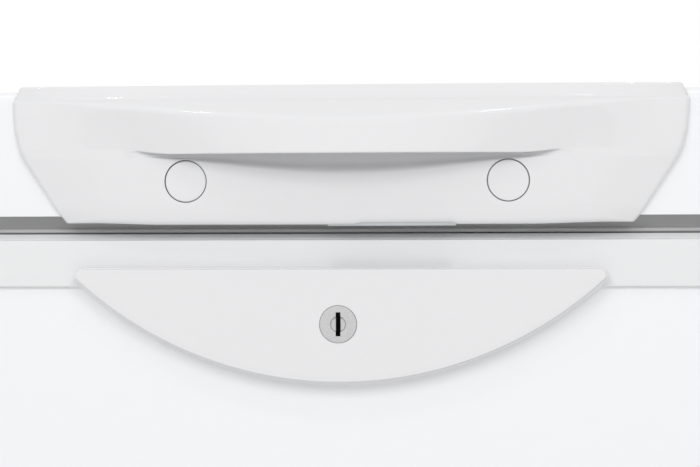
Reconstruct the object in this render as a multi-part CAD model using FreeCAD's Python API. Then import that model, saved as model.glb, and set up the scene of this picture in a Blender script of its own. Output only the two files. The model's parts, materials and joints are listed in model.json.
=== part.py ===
import FreeCAD, Part
import math
import os

# Chest freezer with a solid lift-up lid, a moulded lid handle and a key lock.
# +X runs to the right, -Y to the front, +Z up; the origin is under the middle of its box.
# A place on the front is given as p, the millimetres in front of the cabinet's front face.

# cabinet
width = 940.0
depth = 540.0
lid_top = 850.0
foot_height = 25.0
wall = 62.0
sheet = 0.8
liner_sheet = 1.5
floor_wall = 61.5
corner_radius = 12.0
liner_radius = 20.0
base_sheet = 1.2
base_flange = 20.0
touch = 0.05
gap = 0.3

# machine compartment and the step over it in the liner
machine_width = 240.0
machine_height = 275.0
machine_sheet = 1.2

# lid, seal and collar
lid_thickness = 61.4
lid_proud = 3.0
lid_edge_radius = 5.0
lid_plug_depth = 10.6
lid_plug_inset = 13.0
lid_liner_sheet = 2.0
seal_gap = 8.7
seal_width = 20.0
seal_inset = 5.0
collar_height = 25.9
collar_proud = 2.5
collar_sheet = 2.3
collar_land = 44.0
collar_edge_chamfer = 2.5
ledge_drop = 10.0
ledge_overlap = 2.0

# handle on the lid's front
handle_half_width = 165.1
handle_band_half_width = 160.8
handle_above_lid = 2.1
handle_wall = 2.6
handle_depth = 34.0
handle_face = 13.5
handle_foot = 12.0
handle_height = 66.9
grip_above_seam = 31.6
grip_wall = 3.0
ridge_reach = 30.0
ridge_drop = 9.9
crease_drop = 6.7
recess_half_width = 102.0
recess_height = 10.2
recess_rise = 17.0
recess_setback = 2.5
flange_reach = 12.0
flange_margin = 5.0
handle_band = 9.0
handle_sweep = 6.5
handle_flat = 60.0
handle_foot_half_width = 137.8
lip_half_width = 115.0
ridge_half_width = 150.0
cap_seat = 9.4
screw_seat = 5.4
handle_waist_drop = 21.6
handle_bend_drop = 39.6
handle_side_draw = 8.1
handle_foot_corner = 4.4
screw_well_radius = 6.4
cap_radius = 9.9
cap_spacing = 155.8
cap_above_seam = 16.7
cap_ring = 0.45
handle_screw_radius = 2.4
handle_screw_length = 22.0

# key lock and its escutcheon
lock_offset = -4.2
lock_below_collar = 17.9
lock_face_radius = 9.0
lock_barrel_radius = 7.0
lock_barrel_length = 26.0
lock_face_proud = 11.0
barrel_clearance = 0.06
key_slot_height = 11.4
key_slot_width = 2.3
escutcheon_half_width = 130.1
escutcheon_height = 57.0
escutcheon_above_collar = 9.7
escutcheon_face = 10.5
escutcheon_edge = 5.0
escutcheon_wall = 2.0
escutcheon_bevel = 3.4
escutcheon_end = 6.2
arm_rest_angle = -10.0
arm_radius = 58.0
arm_width = 8.0
arm_sheet = 2.0
arm_back = 4.2
barb_lead = 12.0
barb_height = 7.0
strike_sheet = 1.5
strike_slot_start = 4.0
strike_slot_end = 48.0
strike_end_width = 9.0
strike_leg_p = 7.4
strike_screw_rise = 13.0
strike_screw_edge = 4.5
strike_screw_bite = 2.6
strike_screw_radius = 1.4
strike_screw_bore = 1.5
escutcheon_corner = 5.0
escutcheon_top_bevel = 1.2
lock_bore_radius = 9.6
lock_window_radius = 11.4
lock_pocket_depth = 21.0
sleeve_front = 9.4
boss_back = 6.7

# hinges with a spring plunger each
hinge_spacing = 600.0
hinge_width = 44.0
hinge_depth = 32.0
hinge_height = 165.0
hinge_sheet = 1.5
hinge_axis_back = 14.0
hinge_axis_above_lid = 6.0
hinge_pin_radius = 3.0
hinge_bore_clearance = 0.05
cam_radius = 6.0
cam_start = 8.0
cam_width = 8.0
lid_opening = 80.0
plunger_thickness = 6.0
spring_radius = 8.0
spring_wire = 2.2
spring_turns = 7
hinge_top_rise = 9.0
hinge_seat_rise = 62.0
hinge_screw_rise = 14.0
hinge_screw_half = 11.0
hinge_screw_pitch = 26.0
wing_screw_rise = 26.0
wing_screw_pitch = 18.0
screw_radius = 2.2
screw_bore = 2.4
screw_head_radius = 4.4
screw_head_height = 2.6
screw_length = 14.0
cheek_front = 9.5
leaf_thickness = 2.5
ear_thickness = 3.0
ear_radius = 7.2
plunger_rod = 4.0

# feet
foot_inset_x = 70.0
foot_inset_y = 60.0
foot_pad_radius = 19.0
foot_stem_radius = 5.0
foot_stem_length = 52.0
nut_reach = 9.2

# hanging basket
basket_length = 220.0
basket_depth = 208.0
basket_wire = 3.0
basket_rim = 5.0
basket_pitch = 40.0
basket_from_left = 12.0
basket_margin = 10.0

# cooling circuit
evaporator_width = 8.0
evaporator_depth = 6.0
evaporator_turns = 4
evaporator_pitch = 95.0
evaporator_top_gap = 50.0
crossing_x = -90.0
crossing_run = 30.0
line_radius = 4.0
line_hole = 5.2
compressor_radius = 66.0
compressor_height = 150.0
relay_width = 52.0
relay_height = 60.0

# grille, cover and control panel
grille_height = 200.0
grille_depth = 240.0
grille_from_rear = 60.0
grille_slots = 11
grille_rise = 35.0
grille_frame = 8.0
louvre_rise = 4.0
panel_width = 150.0
panel_height = 90.0
knob_radius = 17.0
lens_pitch = 22.0
lens_first = 52.0
lens_radius = 4.2
gland_radius = 3.6

# drain
drain_radius = 9.0
drain_bezel_reach = 6.0
drain_wall = 1.7

# places worked out from the sizes above
front_reach = handle_depth
rear_reach = hinge_depth
middle_y = (front_reach - rear_reach) / 2
front_y = middle_y - depth / 2
rear_y = middle_y + depth / 2
half_x = width / 2
base_z = foot_height
lid_z = lid_top - lid_thickness
collar_z = lid_z - seal_gap
skirt_z = collar_z - collar_height
ledge_z = collar_z - ledge_drop
floor_z = base_z + base_sheet + floor_wall
machine_x = half_x - machine_width
machine_top = base_z + machine_height
step_x = machine_x - wall + liner_sheet
step_z = machine_top + wall - liner_sheet
axis_y = rear_y + hinge_axis_back
axis_z = lid_z + hinge_axis_above_lid
handle_top = lid_top + handle_above_lid
handle_bottom = handle_top - handle_height
grip_z = lid_z + grip_above_seam
cap_z = lid_z + cap_above_seam
lock_x = lock_offset
lock_z = skirt_z - lock_below_collar
tub_cut = (liner_radius + liner_sheet) * 0.55
plate_inset = base_sheet + sheet + touch
escutcheon_top = skirt_z + escutcheon_above_collar
compressor_x = half_x - machine_width / 2 - 4
compressor_y = rear_y - 150.0
suction_x = machine_x + 40.0
suction_y = rear_y - wall + liner_sheet + line_radius + gap
compressor_base = base_z + base_sheet + 24.0
drier_x = machine_x + 26.0
drier_y = rear_y - 78.0
drier_z = base_z + 150.0
panel_x = half_x - machine_width / 2
panel_z = machine_top - 70.0
knob_x = panel_x + 40.0
drain_x = -half_x + 130.0
drain_z = base_z + 34.0
drain_y = front_y + wall + 60.0


def py(p):
    """Y of a point that lies p in front of the cabinet's front face."""
    return front_y - p


def box(x0, x1, y0, y1, z0, z1):
    return Part.makeBox(x1 - x0, y1 - y0, z1 - z0, FreeCAD.Vector(x0, y0, z0))


def rod(radius, length, base, direction):
    return Part.makeCylinder(radius, length, FreeCAD.Vector(*base), FreeCAD.Vector(*direction))


def bar(radius, length, base, direction, sides=6):
    """A straight bar of regular section; radius reaches to its corners."""
    ahead = FreeCAD.Vector(*direction)
    helper = FreeCAD.Vector(1, 0, 0) if abs(ahead.z) > 0.5 else FreeCAD.Vector(0, 0, 1)
    side = ahead.cross(helper)
    up = side.cross(ahead)
    start = FreeCAD.Vector(*base)
    corners = []
    for i in range(sides):
        angle = 2 * math.pi * (i + 0.5) / sides
        corners.append(start + side * (radius * math.cos(angle)) + up * (radius * math.sin(angle)))
    return Part.Face(Part.makePolygon(corners + corners[:1])).extrude(ahead * length)


def pipe(outer, inner, length, base, direction):
    return rod(outer, length, base, direction).cut(rod(inner, length, base, direction))


def fuse(shapes):
    shapes = list(shapes)
    if len(shapes) == 1:
        return shapes[0]
    return shapes[0].multiFuse(shapes[1:]).removeSplitter()


def divided(body, lines):
    """The body with straight lines drawn on its faces, which divide them."""
    edges = [Part.makeLine(FreeCAD.Vector(*start), FreeCAD.Vector(*end)) for start, end in lines]
    return body.generalFuse(edges)[0].Solids[0]


def polygon(points):
    vectors = [FreeCAD.Vector(*point) for point in points]
    return Part.Face(Part.makePolygon(vectors + vectors[:1]))


def prism_x(points, x0, x1):
    """A prism along X over an outline of (y, z) points."""
    face = polygon([(x0, y, z) for y, z in points])
    return face.extrude(FreeCAD.Vector(x1 - x0, 0, 0))


def prism_y(points, y0, y1):
    """A prism along Y over an outline of (x, z) points."""
    face = polygon([(x, y0, z) for x, z in points])
    return face.extrude(FreeCAD.Vector(0, y1 - y0, 0))


def prism_z(points, z0, z1):
    """A prism along Z over an outline of (x, y) points."""
    face = polygon([(x, y, z0) for x, y in points])
    return face.extrude(FreeCAD.Vector(0, 0, z1 - z0))


def slab(inset, z0, z1, radius):
    """The cabinet's plan drawn in by inset, with rounded upright corners."""
    x1 = half_x - inset
    y0 = front_y + inset
    y1 = rear_y - inset
    body = box(-x1, x1, y0, y1, z0, z1)
    if radius <= 0:
        return body
    upright = [e for e in body.Edges if abs(e.Vertexes[0].Z - e.Vertexes[1].Z) > (z1 - z0) / 2]
    return body.makeFillet(radius, upright)


def trimmed_slab(inset, z0, z1, cut):
    """The cabinet's plan drawn in by inset, with its upright corners cut off straight."""
    x1 = half_x - inset
    y0 = front_y + inset
    y1 = rear_y - inset
    outline = [(cut - x1, y0), (x1 - cut, y0), (x1, y0 + cut), (x1, y1 - cut)]
    outline += [(x1 - cut, y1), (cut - x1, y1), (-x1, y1 - cut), (-x1, y0 + cut)]
    return prism_z(outline, z0, z1)


def ring(outer_inset, inner_inset, z0, z1, radius):
    """A frame that follows the cabinet's plan between two insets."""
    inner_radius = max(radius - (inner_inset - outer_inset), 1.0)
    return slab(outer_inset, z0, z1, radius).cut(slab(inner_inset, z0, z1, inner_radius))


def wire_path(points, half, sides=8):
    """A tube of regular section along straight runs, mitred where they meet."""
    vectors = [FreeCAD.Vector(*point) for point in points]
    path = Part.makePolygon(vectors)
    start = vectors[0]
    ahead = (vectors[1] - start).normalize()
    helper = FreeCAD.Vector(0, 0, 1)
    if abs(ahead.z) > 0.9:
        helper = FreeCAD.Vector(1, 0, 0)
    side = ahead.cross(helper).normalize()
    up = side.cross(ahead).normalize()
    corner = half / math.cos(math.pi / sides)
    outline = []
    for i in range(sides):
        angle = 2 * math.pi * (i + 0.5) / sides
        outline.append(start + side * (corner * math.cos(angle)) + up * (corner * math.sin(angle)))
    section = Part.makePolygon(outline + outline[:1])
    return path.makePipeShell([section], True, False, 1)


# cabinet


def outer_wrapper():
    """Front and sides in one bent sheet, with a return round each rear corner."""
    top = collar_z - collar_sheet - 2 * touch
    shell = ring(0, sheet, base_z, top, corner_radius)
    rear = box(-half_x + 20, half_x - 20, rear_y - 5, rear_y + 5, base_z - 1, top + 1)
    window = bar(lock_window_radius, 10, (lock_x, front_y - 5, lock_z), (0, 1, 0), 16)
    cuts = [rear, window, grille_window(), panel_window()]
    cuts.append(bar(drain_radius + 1, 10, (drain_x, front_y - 5, drain_z), (0, 1, 0), 12))
    for shape in cuts:
        shell = shell.cut(shape)
    return shell


def rear_panel():
    """Flat sheet behind the foam, cut out over the machine compartment."""
    y1 = rear_y - sheet - touch
    top = collar_z - collar_sheet - 2 * touch
    sheet_x = half_x - corner_radius
    panel = box(-sheet_x, sheet_x, y1 - sheet, y1, base_z + base_flange + touch, top)
    opening = box(machine_x, half_x, y1 - 5, y1 + 5, base_z, machine_top)
    return panel.cut(opening)


def base_pan():
    """Pressed tray under the cabinet, with a hole for each foot's stem."""
    cut = corner_radius
    outside = trimmed_slab(sheet + touch, base_z, base_z + base_flange, cut)
    inside = trimmed_slab(plate_inset, base_z + base_sheet, base_z + base_flange + 1, cut)
    pan = outside.cut(inside)
    for x, y in foot_places():
        pan = pan.cut(bar(foot_stem_radius + 0.8, 10, (x, y, base_z - 5), (0, 0, 1), 12))
    return pan


def foot_places():
    xs = (-half_x + foot_inset_x, half_x - foot_inset_x)
    ys = (front_y + foot_inset_y, rear_y - foot_inset_y)
    return [(x, y) for y in ys for x in xs]


def liner_block(inset, z0, z1, x, z):
    """The tub's plan between two heights, less the step over the machine compartment."""
    body = slab(inset, z0, z1, liner_radius + wall - inset)
    return body.cut(box(x, half_x, front_y, rear_y, z0 - 1, z))


def inner_liner():
    outside = liner_block(wall - liner_sheet, floor_z, ledge_z - collar_sheet - touch, step_x, step_z)
    inside = liner_block(wall, floor_z + liner_sheet, ledge_z + 1, step_x - liner_sheet,
                         step_z + liner_sheet)
    tub = outside.cut(inside)
    return tub.cut(bar(drain_radius, 20, (drain_x, drain_y, floor_z - 10), (0, 0, 1), 12))


def machine_wall():
    """Bent sheet that keeps the foam out of the machine compartment."""
    y0 = front_y + corner_radius
    y1 = rear_y - corner_radius
    outline = [(machine_x, base_z + base_sheet + touch), (machine_x, machine_top)]
    outline += [(half_x - sheet - touch, machine_top), (half_x - sheet - touch, machine_top - machine_sheet)]
    outline += [(machine_x + machine_sheet, machine_top - machine_sheet)]
    outline += [(machine_x + machine_sheet, base_z + base_sheet + touch)]
    bent = prism_y(outline, y0, y1)
    hole = bar(line_hole, 20, (suction_x, suction_y, machine_top - 10), (0, 0, 1), 8)
    return bent.cut(hole)


def foam_insulation():
    """Foam between the sheets and the tub, grooved for the evaporator and the drain."""
    top = ledge_z - collar_sheet - touch
    block = trimmed_slab(plate_inset + touch, base_z + base_sheet + touch, top, corner_radius)
    tub = trimmed_slab(wall - liner_sheet - touch, floor_z - touch, top + 1, tub_cut)
    tub = tub.cut(box(step_x + touch, half_x, front_y, rear_y, base_z, step_z - touch))
    cuts = [tub, box(machine_x - touch, half_x, front_y, rear_y, base_z, machine_top + touch)]
    cuts += [evaporator_groove(z) for z in evaporator_levels()]
    x0 = crossing_x - crossing_run / 2 - evaporator_width
    x1 = crossing_x + crossing_run / 2 + evaporator_width
    levels = evaporator_levels()
    y1 = rear_y - evaporator_inset() + 1
    cuts.append(box(x0, x1, y1 - evaporator_depth - 2, y1, levels[0], levels[-1]))
    cuts.append(bar(lock_window_radius, lock_pocket_depth + touch, (lock_x, front_y, lock_z), (0, 1, 0), 16))
    rise = levels[0] - machine_top
    cuts.append(bar(line_hole, rise, (suction_x, suction_y, machine_top), (0, 0, 1), 8))
    cuts += drain_channel()
    cuts.append(box(-half_x, half_x, rear_y - 2.5, rear_y, base_z, top + 1))
    for x, y in foot_places():
        cuts.append(bar(nut_reach + 0.2, foot_stem_length, (x, y, base_z), (0, 0, 1)))
    for shape in cuts:
        block = block.cut(shape)
    return block


# cooling circuit


def evaporator_levels():
    top = ledge_z - collar_sheet - evaporator_top_gap
    return [top - evaporator_pitch * i for i in reversed(range(evaporator_turns))]


def evaporator_inset():
    return wall - liner_sheet - evaporator_depth - touch


def evaporator_ring(z, spare):
    """One turn of the flattened tube round the tub, open where it steps to the next."""
    inset = evaporator_inset() - spare
    z0 = z - evaporator_width / 2 - spare
    z1 = z + evaporator_width / 2 + spare
    outer = trimmed_slab(inset, z0, z1, tub_cut + evaporator_depth * 0.6)
    return outer.cut(trimmed_slab(wall - liner_sheet - touch, z0, z1, tub_cut))


def evaporator_groove(z):
    return evaporator_ring(z, 0.4)


def evaporator_coil():
    """Flattened tube in four turns, each joined to the next by a slanting piece at the rear."""
    y1 = rear_y - evaporator_inset()
    y0 = y1 - evaporator_depth
    levels = evaporator_levels()
    x0 = crossing_x - crossing_run / 2
    x1 = crossing_x + crossing_run / 2
    half = evaporator_width / 2
    turns = []
    for z in levels:
        turn = evaporator_ring(z, 0)
        turns.append(turn.cut(box(x0, x1, y0 - 1, y1 + 1, z - half - 1, z + half + 1)))
    for low, high in zip(levels[:-1], levels[1:]):
        outline = [(x0 - half, low + half), (x0, low - half), (x0 + half, low - half)]
        outline += [(x1 + half, high - half), (x1, high + half), (x1 - half, high + half)]
        turns.append(prism_y(outline, y0, y1))
    return fuse(turns)


def revolve_z(points, centre):
    """A solid turned about an upright axis over (radius, z) points."""
    x, y = centre
    face = polygon([(x + r, y, z) for r, z in points])
    return face.revolve(FreeCAD.Vector(x, y, 0), FreeCAD.Vector(0, 0, 1), 360)


def compressor_shell():
    """Welded can with domed ends and the seam band round its middle."""
    low = compressor_base
    high = low + compressor_height
    middle = low + compressor_height * 0.52
    r = compressor_radius
    points = [(0, low), (r * 0.8, low), (r, low + 22)]
    points += [(r, middle - 5), (r + 3, middle - 5), (r + 3, middle + 5), (r, middle + 5)]
    points += [(r, high - 32), (r * 0.72, high - 6), (0, high)]
    return revolve_z(points, (compressor_x, compressor_y))


def compressor_with_stub():
    """The can with the sealed filling tube brazed into its side."""
    return compressor_shell().fuse(process_tube())


def bolt_places():
    dx = compressor_radius + 14
    dy = compressor_radius - 14
    return [(compressor_x + i * dx, compressor_y + j * dy) for i in (-1, 1) for j in (-1, 1)]


def compressor_mount():
    """Pressed foot plate under the can, carried on four rubber grommets."""
    reach_x = compressor_radius + 26
    reach_y = compressor_radius - 2
    top = compressor_base - touch
    plate = box(compressor_x - reach_x, compressor_x + reach_x, compressor_y - reach_y,
                compressor_y + reach_y, top - 3, top)
    for x, y in bolt_places():
        plate = plate.cut(bar(8, 10, (x, y, top - 6), (0, 0, 1), 8))
    return plate


def compressor_grommets():
    """Four rubber feet, each with a waist that the foot plate sits in."""
    low = base_z + base_sheet + touch
    seat = compressor_base - touch - 3
    feet = []
    for x, y in bolt_places():
        grommet = fuse([bar(13, seat - touch - low, (x, y, low), (0, 0, 1), 8),
                        bar(7.7, 5, (x, y, seat - 1), (0, 0, 1), 8),
                        bar(10, 6, (x, y, seat + 3 + touch), (0, 0, 1), 8)])
        feet.append(grommet.cut(bar(4.4, 60, (x, y, low - 5), (0, 0, 1))))
    return Part.makeCompound(feet)


def compressor_bolts():
    low = base_z + base_sheet + touch
    top = compressor_base + 6 + touch
    bolts = []
    for x, y in bolt_places():
        shank = bar(4, top - low, (x, y, low), (0, 0, 1))
        head = bar(8, 5, (x, y, top), (0, 0, 1))
        bolts.append(shank.fuse(head))
    return Part.makeCompound(bolts)


def relay_cover():
    """Snap-on cover over the compressor's terminals, open against the can."""
    z0 = compressor_base + 40
    y0 = compressor_y - compressor_radius - 28
    y1 = compressor_y
    x0 = compressor_x - relay_width / 2
    x1 = compressor_x + relay_width / 2
    cover = box(x0, x1, y0, y1, z0, z0 + relay_height)
    edges = [e for e in cover.Edges if abs(e.CenterOfMass.y - y0) < 0.01]
    cover = cover.makeChamfer(3, edges)
    cover = cover.cut(box(x0 + 2, x1 - 2, y0 + 2, y1 + 1, z0 + 2, z0 + relay_height - 2))
    return cover.cut(rod(compressor_radius + 3 + gap, 400, (compressor_x, compressor_y, base_z), (0, 0, 1)))


def suction_line():
    """Copper return line from the evaporator down to the compressor's side."""
    level = evaporator_levels()[0] - evaporator_width / 2 - touch
    turn = machine_top - 40
    reach = compressor_radius - 6
    points = [(suction_x, suction_y, level), (suction_x, suction_y, turn)]
    points += [(compressor_x - 30, suction_y, turn), (compressor_x - 30, compressor_y + reach, turn - 20)]
    points += [(compressor_x - 30, compressor_y + reach, compressor_base + 118)]
    return wire_path(points, line_radius).cut(compressor_shell())


def discharge_line():
    """Thin line from the compressor to the filter drier."""
    z = compressor_base + 60
    y = compressor_y + compressor_radius
    points = [(compressor_x + 20, y - 12, z), (compressor_x + 20, y + 30, z)]
    points += [(compressor_x + 20, drier_y, z - 20), (drier_x, drier_y, z - 20)]
    points += [(drier_x, drier_y, drier_z - 12)]
    return wire_path(points, 2.5, 6).cut(compressor_shell())


def filter_drier():
    body = bar(9, 70, (drier_x, drier_y, drier_z), (0, 0, 1), 12)
    ends = [e for e in body.Edges if abs(e.BoundBox.ZLength) < 0.01]
    body = body.makeChamfer(3, ends)
    neck = bar(3.4, 94, (drier_x, drier_y, drier_z - 12), (0, 0, 1), 8)
    return body.fuse(neck)


def capillary_coil():
    """Three square turns of capillary tube that hang over the drier."""
    z = drier_z + 82 + touch
    reach = 16.0
    points = [(drier_x, drier_y, z), (drier_x, drier_y, z + 10)]
    x0 = drier_x
    for i in range(3):
        level = z + 10 + i * 5
        corners = [(x0 + reach * 2, drier_y), (x0 + reach * 2, drier_y - reach * 2)]
        corners += [(x0, drier_y - reach * 2), (x0, drier_y)]
        points += [(x, y, level + 5 * (k + 1) / 4) for k, (x, y) in enumerate(corners)]
    points.append((drier_x, drier_y, machine_top - machine_sheet - touch))
    return wire_path(points, 1.2, 4)


def process_tube():
    z = compressor_base + 100
    x = compressor_x + compressor_radius * 0.5
    y = compressor_y - compressor_radius * 0.8
    points = [(x, y, z), (x + 6, y - 24, z + 4), (x + 8, y - 34, z + 40)]
    return wire_path(points, 3.2, 6).cut(compressor_shell())


# panels and controls


def grille_window():
    y1 = rear_y - grille_from_rear
    z0 = base_z + grille_rise
    return box(half_x - 3, half_x + 3, y1 - grille_depth, y1, z0, z0 + grille_height)


def side_grille():
    """Louvred cover in the right side, with sloping vanes."""
    x0 = half_x - 8
    x1 = half_x + 2
    y1 = rear_y - grille_from_rear
    y0 = y1 - grille_depth
    z0 = base_z + grille_rise
    z1 = z0 + grille_height
    edge = grille_frame
    face = box(half_x, x1, y0 - edge, y1 + edge, z0 - edge, z1 + edge)
    tray = box(x0, half_x, y0 + gap, y1 - gap, z0 + gap, z1 - gap)
    shell = face.fuse(tray)
    shell = shell.cut(box(x0 - 1, x1 - 2, y0 + 3, y1 - 3, z0 + 3, z1 - 3))
    pitch = (grille_height - 2 * edge) / grille_slots
    opening = pitch * 0.55
    slots = []
    for i in range(grille_slots):
        low = z0 + edge + 1 + pitch * i
        high = low + louvre_rise
        outline = [(x0 - 2, high), (x1 + 2, low), (x1 + 2, low + opening - 1), (x0 - 2, high + opening)]
        slots.append(prism_y(outline, y0 + 10, y1 - 10))
    shell = shell.cut(Part.makeCompound(slots))
    return shell


def machine_cover():
    """Slotted cover behind the compressor, with the cord's gland hole."""
    y0 = rear_y - sheet - touch - machine_sheet
    x0 = machine_x + touch
    x1 = half_x - corner_radius - touch
    z0 = base_z + base_flange + touch
    cover = box(x0, x1, y0, y0 + machine_sheet, z0, machine_top - touch)
    slots = []
    for i in range(9):
        z = z0 + 30 + i * 18
        slots.append(box(x0 + 30, x1 - 40, y0 - 2, y0 + 4, z, z + 8))
    slots.append(bar(8, 8, (x1 - 20, y0 - 2, z0 + 14), (0, 1, 0), 12))
    return cover.cut(Part.makeCompound(slots))


def power_inlet():
    """Strain relief gland in the machine cover."""
    y0 = rear_y - sheet - touch - machine_sheet
    x = half_x - corner_radius - touch - 20
    z = base_z + base_flange + touch + 14
    body = bar(7.9, machine_sheet + 10, (x, y0 - 6, z), (0, 1, 0), 12)
    collar = bar(11, 4, (x, y0 + machine_sheet + touch, z), (0, 1, 0), 12)
    return body.fuse(collar).cut(rod(gland_radius, 40, (x, y0 - 20, z), (0, 1, 0)))


def panel_window():
    return box(panel_x - panel_width / 2, panel_x + panel_width / 2, front_y - 3, front_y + 3,
               panel_z - panel_height / 2, panel_z + panel_height / 2)


def control_panel():
    """Moulded bezel for the thermostat knob and the three indicator lenses."""
    x0 = panel_x - panel_width / 2
    x1 = panel_x + panel_width / 2
    z0 = panel_z - panel_height / 2
    z1 = panel_z + panel_height / 2
    face = box(x0 - 4, x1 + 4, py(3), py(0), z0 - 4, z1 + 4)
    face = face.makeChamfer(1.5, [e for e in face.Edges if abs(e.CenterOfMass.y - py(3)) < 0.01])
    bezel = face.fuse(box(x0 + gap, x1 - gap, py(0), py(-10), z0 + gap, z1 - gap))
    bezel = bezel.cut(box(x0 + 3, x1 - 3, py(1), py(-11), z0 + 3, z1 - 3))
    bezel = bezel.cut(rod(knob_radius + 1, 10, (knob_x, py(4), panel_z), (0, 1, 0)))
    for x in lens_places():
        bezel = bezel.cut(bar(lens_radius + 0.1, 10, (x, py(4), panel_z), (0, 1, 0), 12))
    return bezel


def lens_places():
    return [panel_x - lens_first + i * lens_pitch for i in range(3)]


def indicator_lenses():
    """Three lenses that sit in the bezel's holes."""
    lenses = []
    for x in lens_places():
        lens = bar(lens_radius, 3.6, (x, py(3.4), panel_z), (0, 1, 0), 12)
        base = bar(6.0, 1.5, (x, py(1) + touch, panel_z), (0, 1, 0), 12)
        lenses.append(lens.fuse(base))
    return Part.makeCompound(lenses)


def thermostat_body():
    """Switch body behind the bezel; its plate closes the knob's well."""
    body = box(knob_x - 22, knob_x + 22, py(-10) + touch, py(-42), panel_z - 18, panel_z + 18)
    plate = box(panel_x - panel_width / 2 + gap, panel_x + panel_width / 2 - gap, py(-10) + touch, py(-12),
                panel_z - panel_height / 2 + gap, panel_z + panel_height / 2 - gap)
    return body.fuse(plate).cut(rod(3.05, 20, (knob_x, py(-9), panel_z), (0, 1, 0)))


def thermostat_knob():
    """Ribbed knob with a pointer ridge and its shaft."""
    cap = bar(knob_radius, 14, (knob_x, py(9), panel_z), (0, 1, 0), 24)
    cap = cap.makeChamfer(1.2, [e for e in cap.Edges if abs(e.CenterOfMass.y - py(9)) < 0.01])
    ridge = box(knob_x - 2.5, knob_x + 2.5, py(12), py(9) + 0.5, panel_z - 4, panel_z + knob_radius - 1)
    shaft = rod(3.0, 20, (knob_x, py(-4), panel_z), (0, 1, 0))
    return fuse([cap, ridge, shaft])


# drain


def drain_channel():
    """Clearance through the foam for the drain tube."""
    reach = drain_radius + 1
    x0 = drain_x - reach
    x1 = drain_x + reach
    low = drain_z - reach
    upright = box(x0, x1, drain_y - reach, drain_y + reach, low, floor_z)
    level = box(x0, x1, front_y, drain_y, low, drain_z + reach)
    return [upright, level]


def drain_tube():
    """Tube from the tub's floor down and out to the front."""
    top = floor_z - touch
    front = front_y + sheet + touch
    bend = (drain_x, drain_y, drain_z)
    outside = drain_radius - 0.4
    outer = wire_path([(drain_x, drain_y, top), bend, (drain_x, front, drain_z)], outside, 12)
    hollow = [(drain_x, drain_y, top + 1), bend, (drain_x, front - 1, drain_z)]
    return outer.cut(wire_path(hollow, outside - drain_wall, 12))


def drain_bezel():
    """Round outlet flange on the cabinet's front."""
    front = py(drain_bezel_reach)
    flange = bar(17, drain_bezel_reach, (drain_x, front, drain_z), (0, 1, 0), 24)
    flange = flange.makeChamfer(1.5, [e for e in flange.Edges if abs(e.CenterOfMass.y - front) < 0.01])
    neck = bar(drain_radius + 0.3, sheet, (drain_x, py(0), drain_z), (0, 1, 0), 12)
    return flange.fuse(neck).cut(bar(7.1, 40, (drain_x, py(20), drain_z), (0, 1, 0), 12))


def drain_cap():
    """Push-in stopper with a finger tab."""
    plug = bar(6.6, 14, (drain_x, py(drain_bezel_reach) - gap, drain_z), (0, 1, 0), 12)
    head = bar(12, 4, (drain_x, py(drain_bezel_reach) - gap - 4, drain_z), (0, 1, 0), 24)
    tab = box(drain_x - 1.5, drain_x + 1.5, py(drain_bezel_reach) - gap - 14, py(drain_bezel_reach) - gap - 4,
              drain_z - 9, drain_z + 9)
    return fuse([plug, head, tab])


def drain_plug():
    """Stopper in the tub's floor, with a pull ring."""
    z = floor_z + liner_sheet + gap
    stem = bar(6.5, 14, (drain_x, drain_y, z - 12), (0, 0, 1), 12)
    head = bar(14, 4, (drain_x, drain_y, z), (0, 0, 1), 24)
    tab = box(drain_x - 1.5, drain_x + 1.5, drain_y - 9, drain_y + 9, z + 4, z + 16)
    tab = tab.cut(bar(4, 10, (drain_x - 5, drain_y, z + 10), (1, 0, 0), 8))
    return fuse([stem, head, tab])


# collar and lid


def top_collar():
    """Plastic frame on the cabinet's top, with an inner ledge for the basket."""
    outer = corner_radius + collar_proud
    inner = liner_radius + wall - collar_land
    lip = wall + ledge_overlap
    under = ledge_z - collar_sheet
    guard_z = under - 12
    block = slab(-collar_proud, skirt_z, collar_z, outer)
    block = block.cut(slab(collar_land, ledge_z, collar_z + 1, inner))
    block = block.cut(slab(lip, skirt_z - 1, collar_z, liner_radius))
    skirt_hollow = trimmed_slab(-gap / 2, skirt_z - 1, collar_z - collar_sheet, corner_radius * 0.5)
    core = trimmed_slab(collar_land - collar_sheet, under, collar_z, inner * 0.6)
    guard = slab(wall + touch, guard_z, under + 1, liner_radius - touch)
    frame = block.cut(skirt_hollow.cut(core).cut(guard))
    edges = []
    for e in frame.Edges:
        at = e.CenterOfMass
        outside = at.x < -half_x + 6 or at.x > half_x - 6 or at.y < front_y + 6 or at.y > rear_y - 6
        if outside and abs(at.z - collar_z) < 0.01 and abs(e.BoundBox.ZLength) < 0.01:
            edges.append(e)
    frame = frame.makeChamfer(collar_edge_chamfer, edges)
    x = -half_x + wall + basket_from_left + basket_length + basket_margin
    near = depth / 2 - collar_land
    far = depth / 2 - lip
    lines = [((x, middle_y + s * near, ledge_z), (x, middle_y + s * far, ledge_z)) for s in (-1, 1)]
    return divided(frame, lines)


def handle_screw_places():
    return [(x, cap_z) for x in (-cap_spacing / 2, cap_spacing / 2)]


def lid_block(inset, z0):
    """The lid's outer form drawn in by inset, with its top edges rounded."""
    z1 = lid_top - inset
    block = slab(inset - lid_proud, z0, z1, corner_radius + lid_proud - inset)
    edges = [e for e in block.Edges if abs(e.CenterOfMass.z - z1) < 0.01]
    return block.makeChamfer(lid_edge_radius - 0.6 * inset, edges)


def lid_skin():
    """Painted steel cover of the lid, open underneath."""
    skin = lid_block(0, lid_z).cut(lid_block(sheet, lid_z - 1))
    for x, z in handle_screw_places():
        skin = skin.cut(bar(handle_screw_radius + gap, 10, (x, py(lid_proud + 5), z), (0, 1, 0)))
    y = front_y + flange_reach + flange_margin
    return divided(skin, [((-half_x, y, lid_top), (half_x, y, lid_top))])


def lid_plug(spare, z0, z1):
    inset = wall + lid_plug_inset + spare
    return slab(inset, z0, z1, liner_radius)


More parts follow.
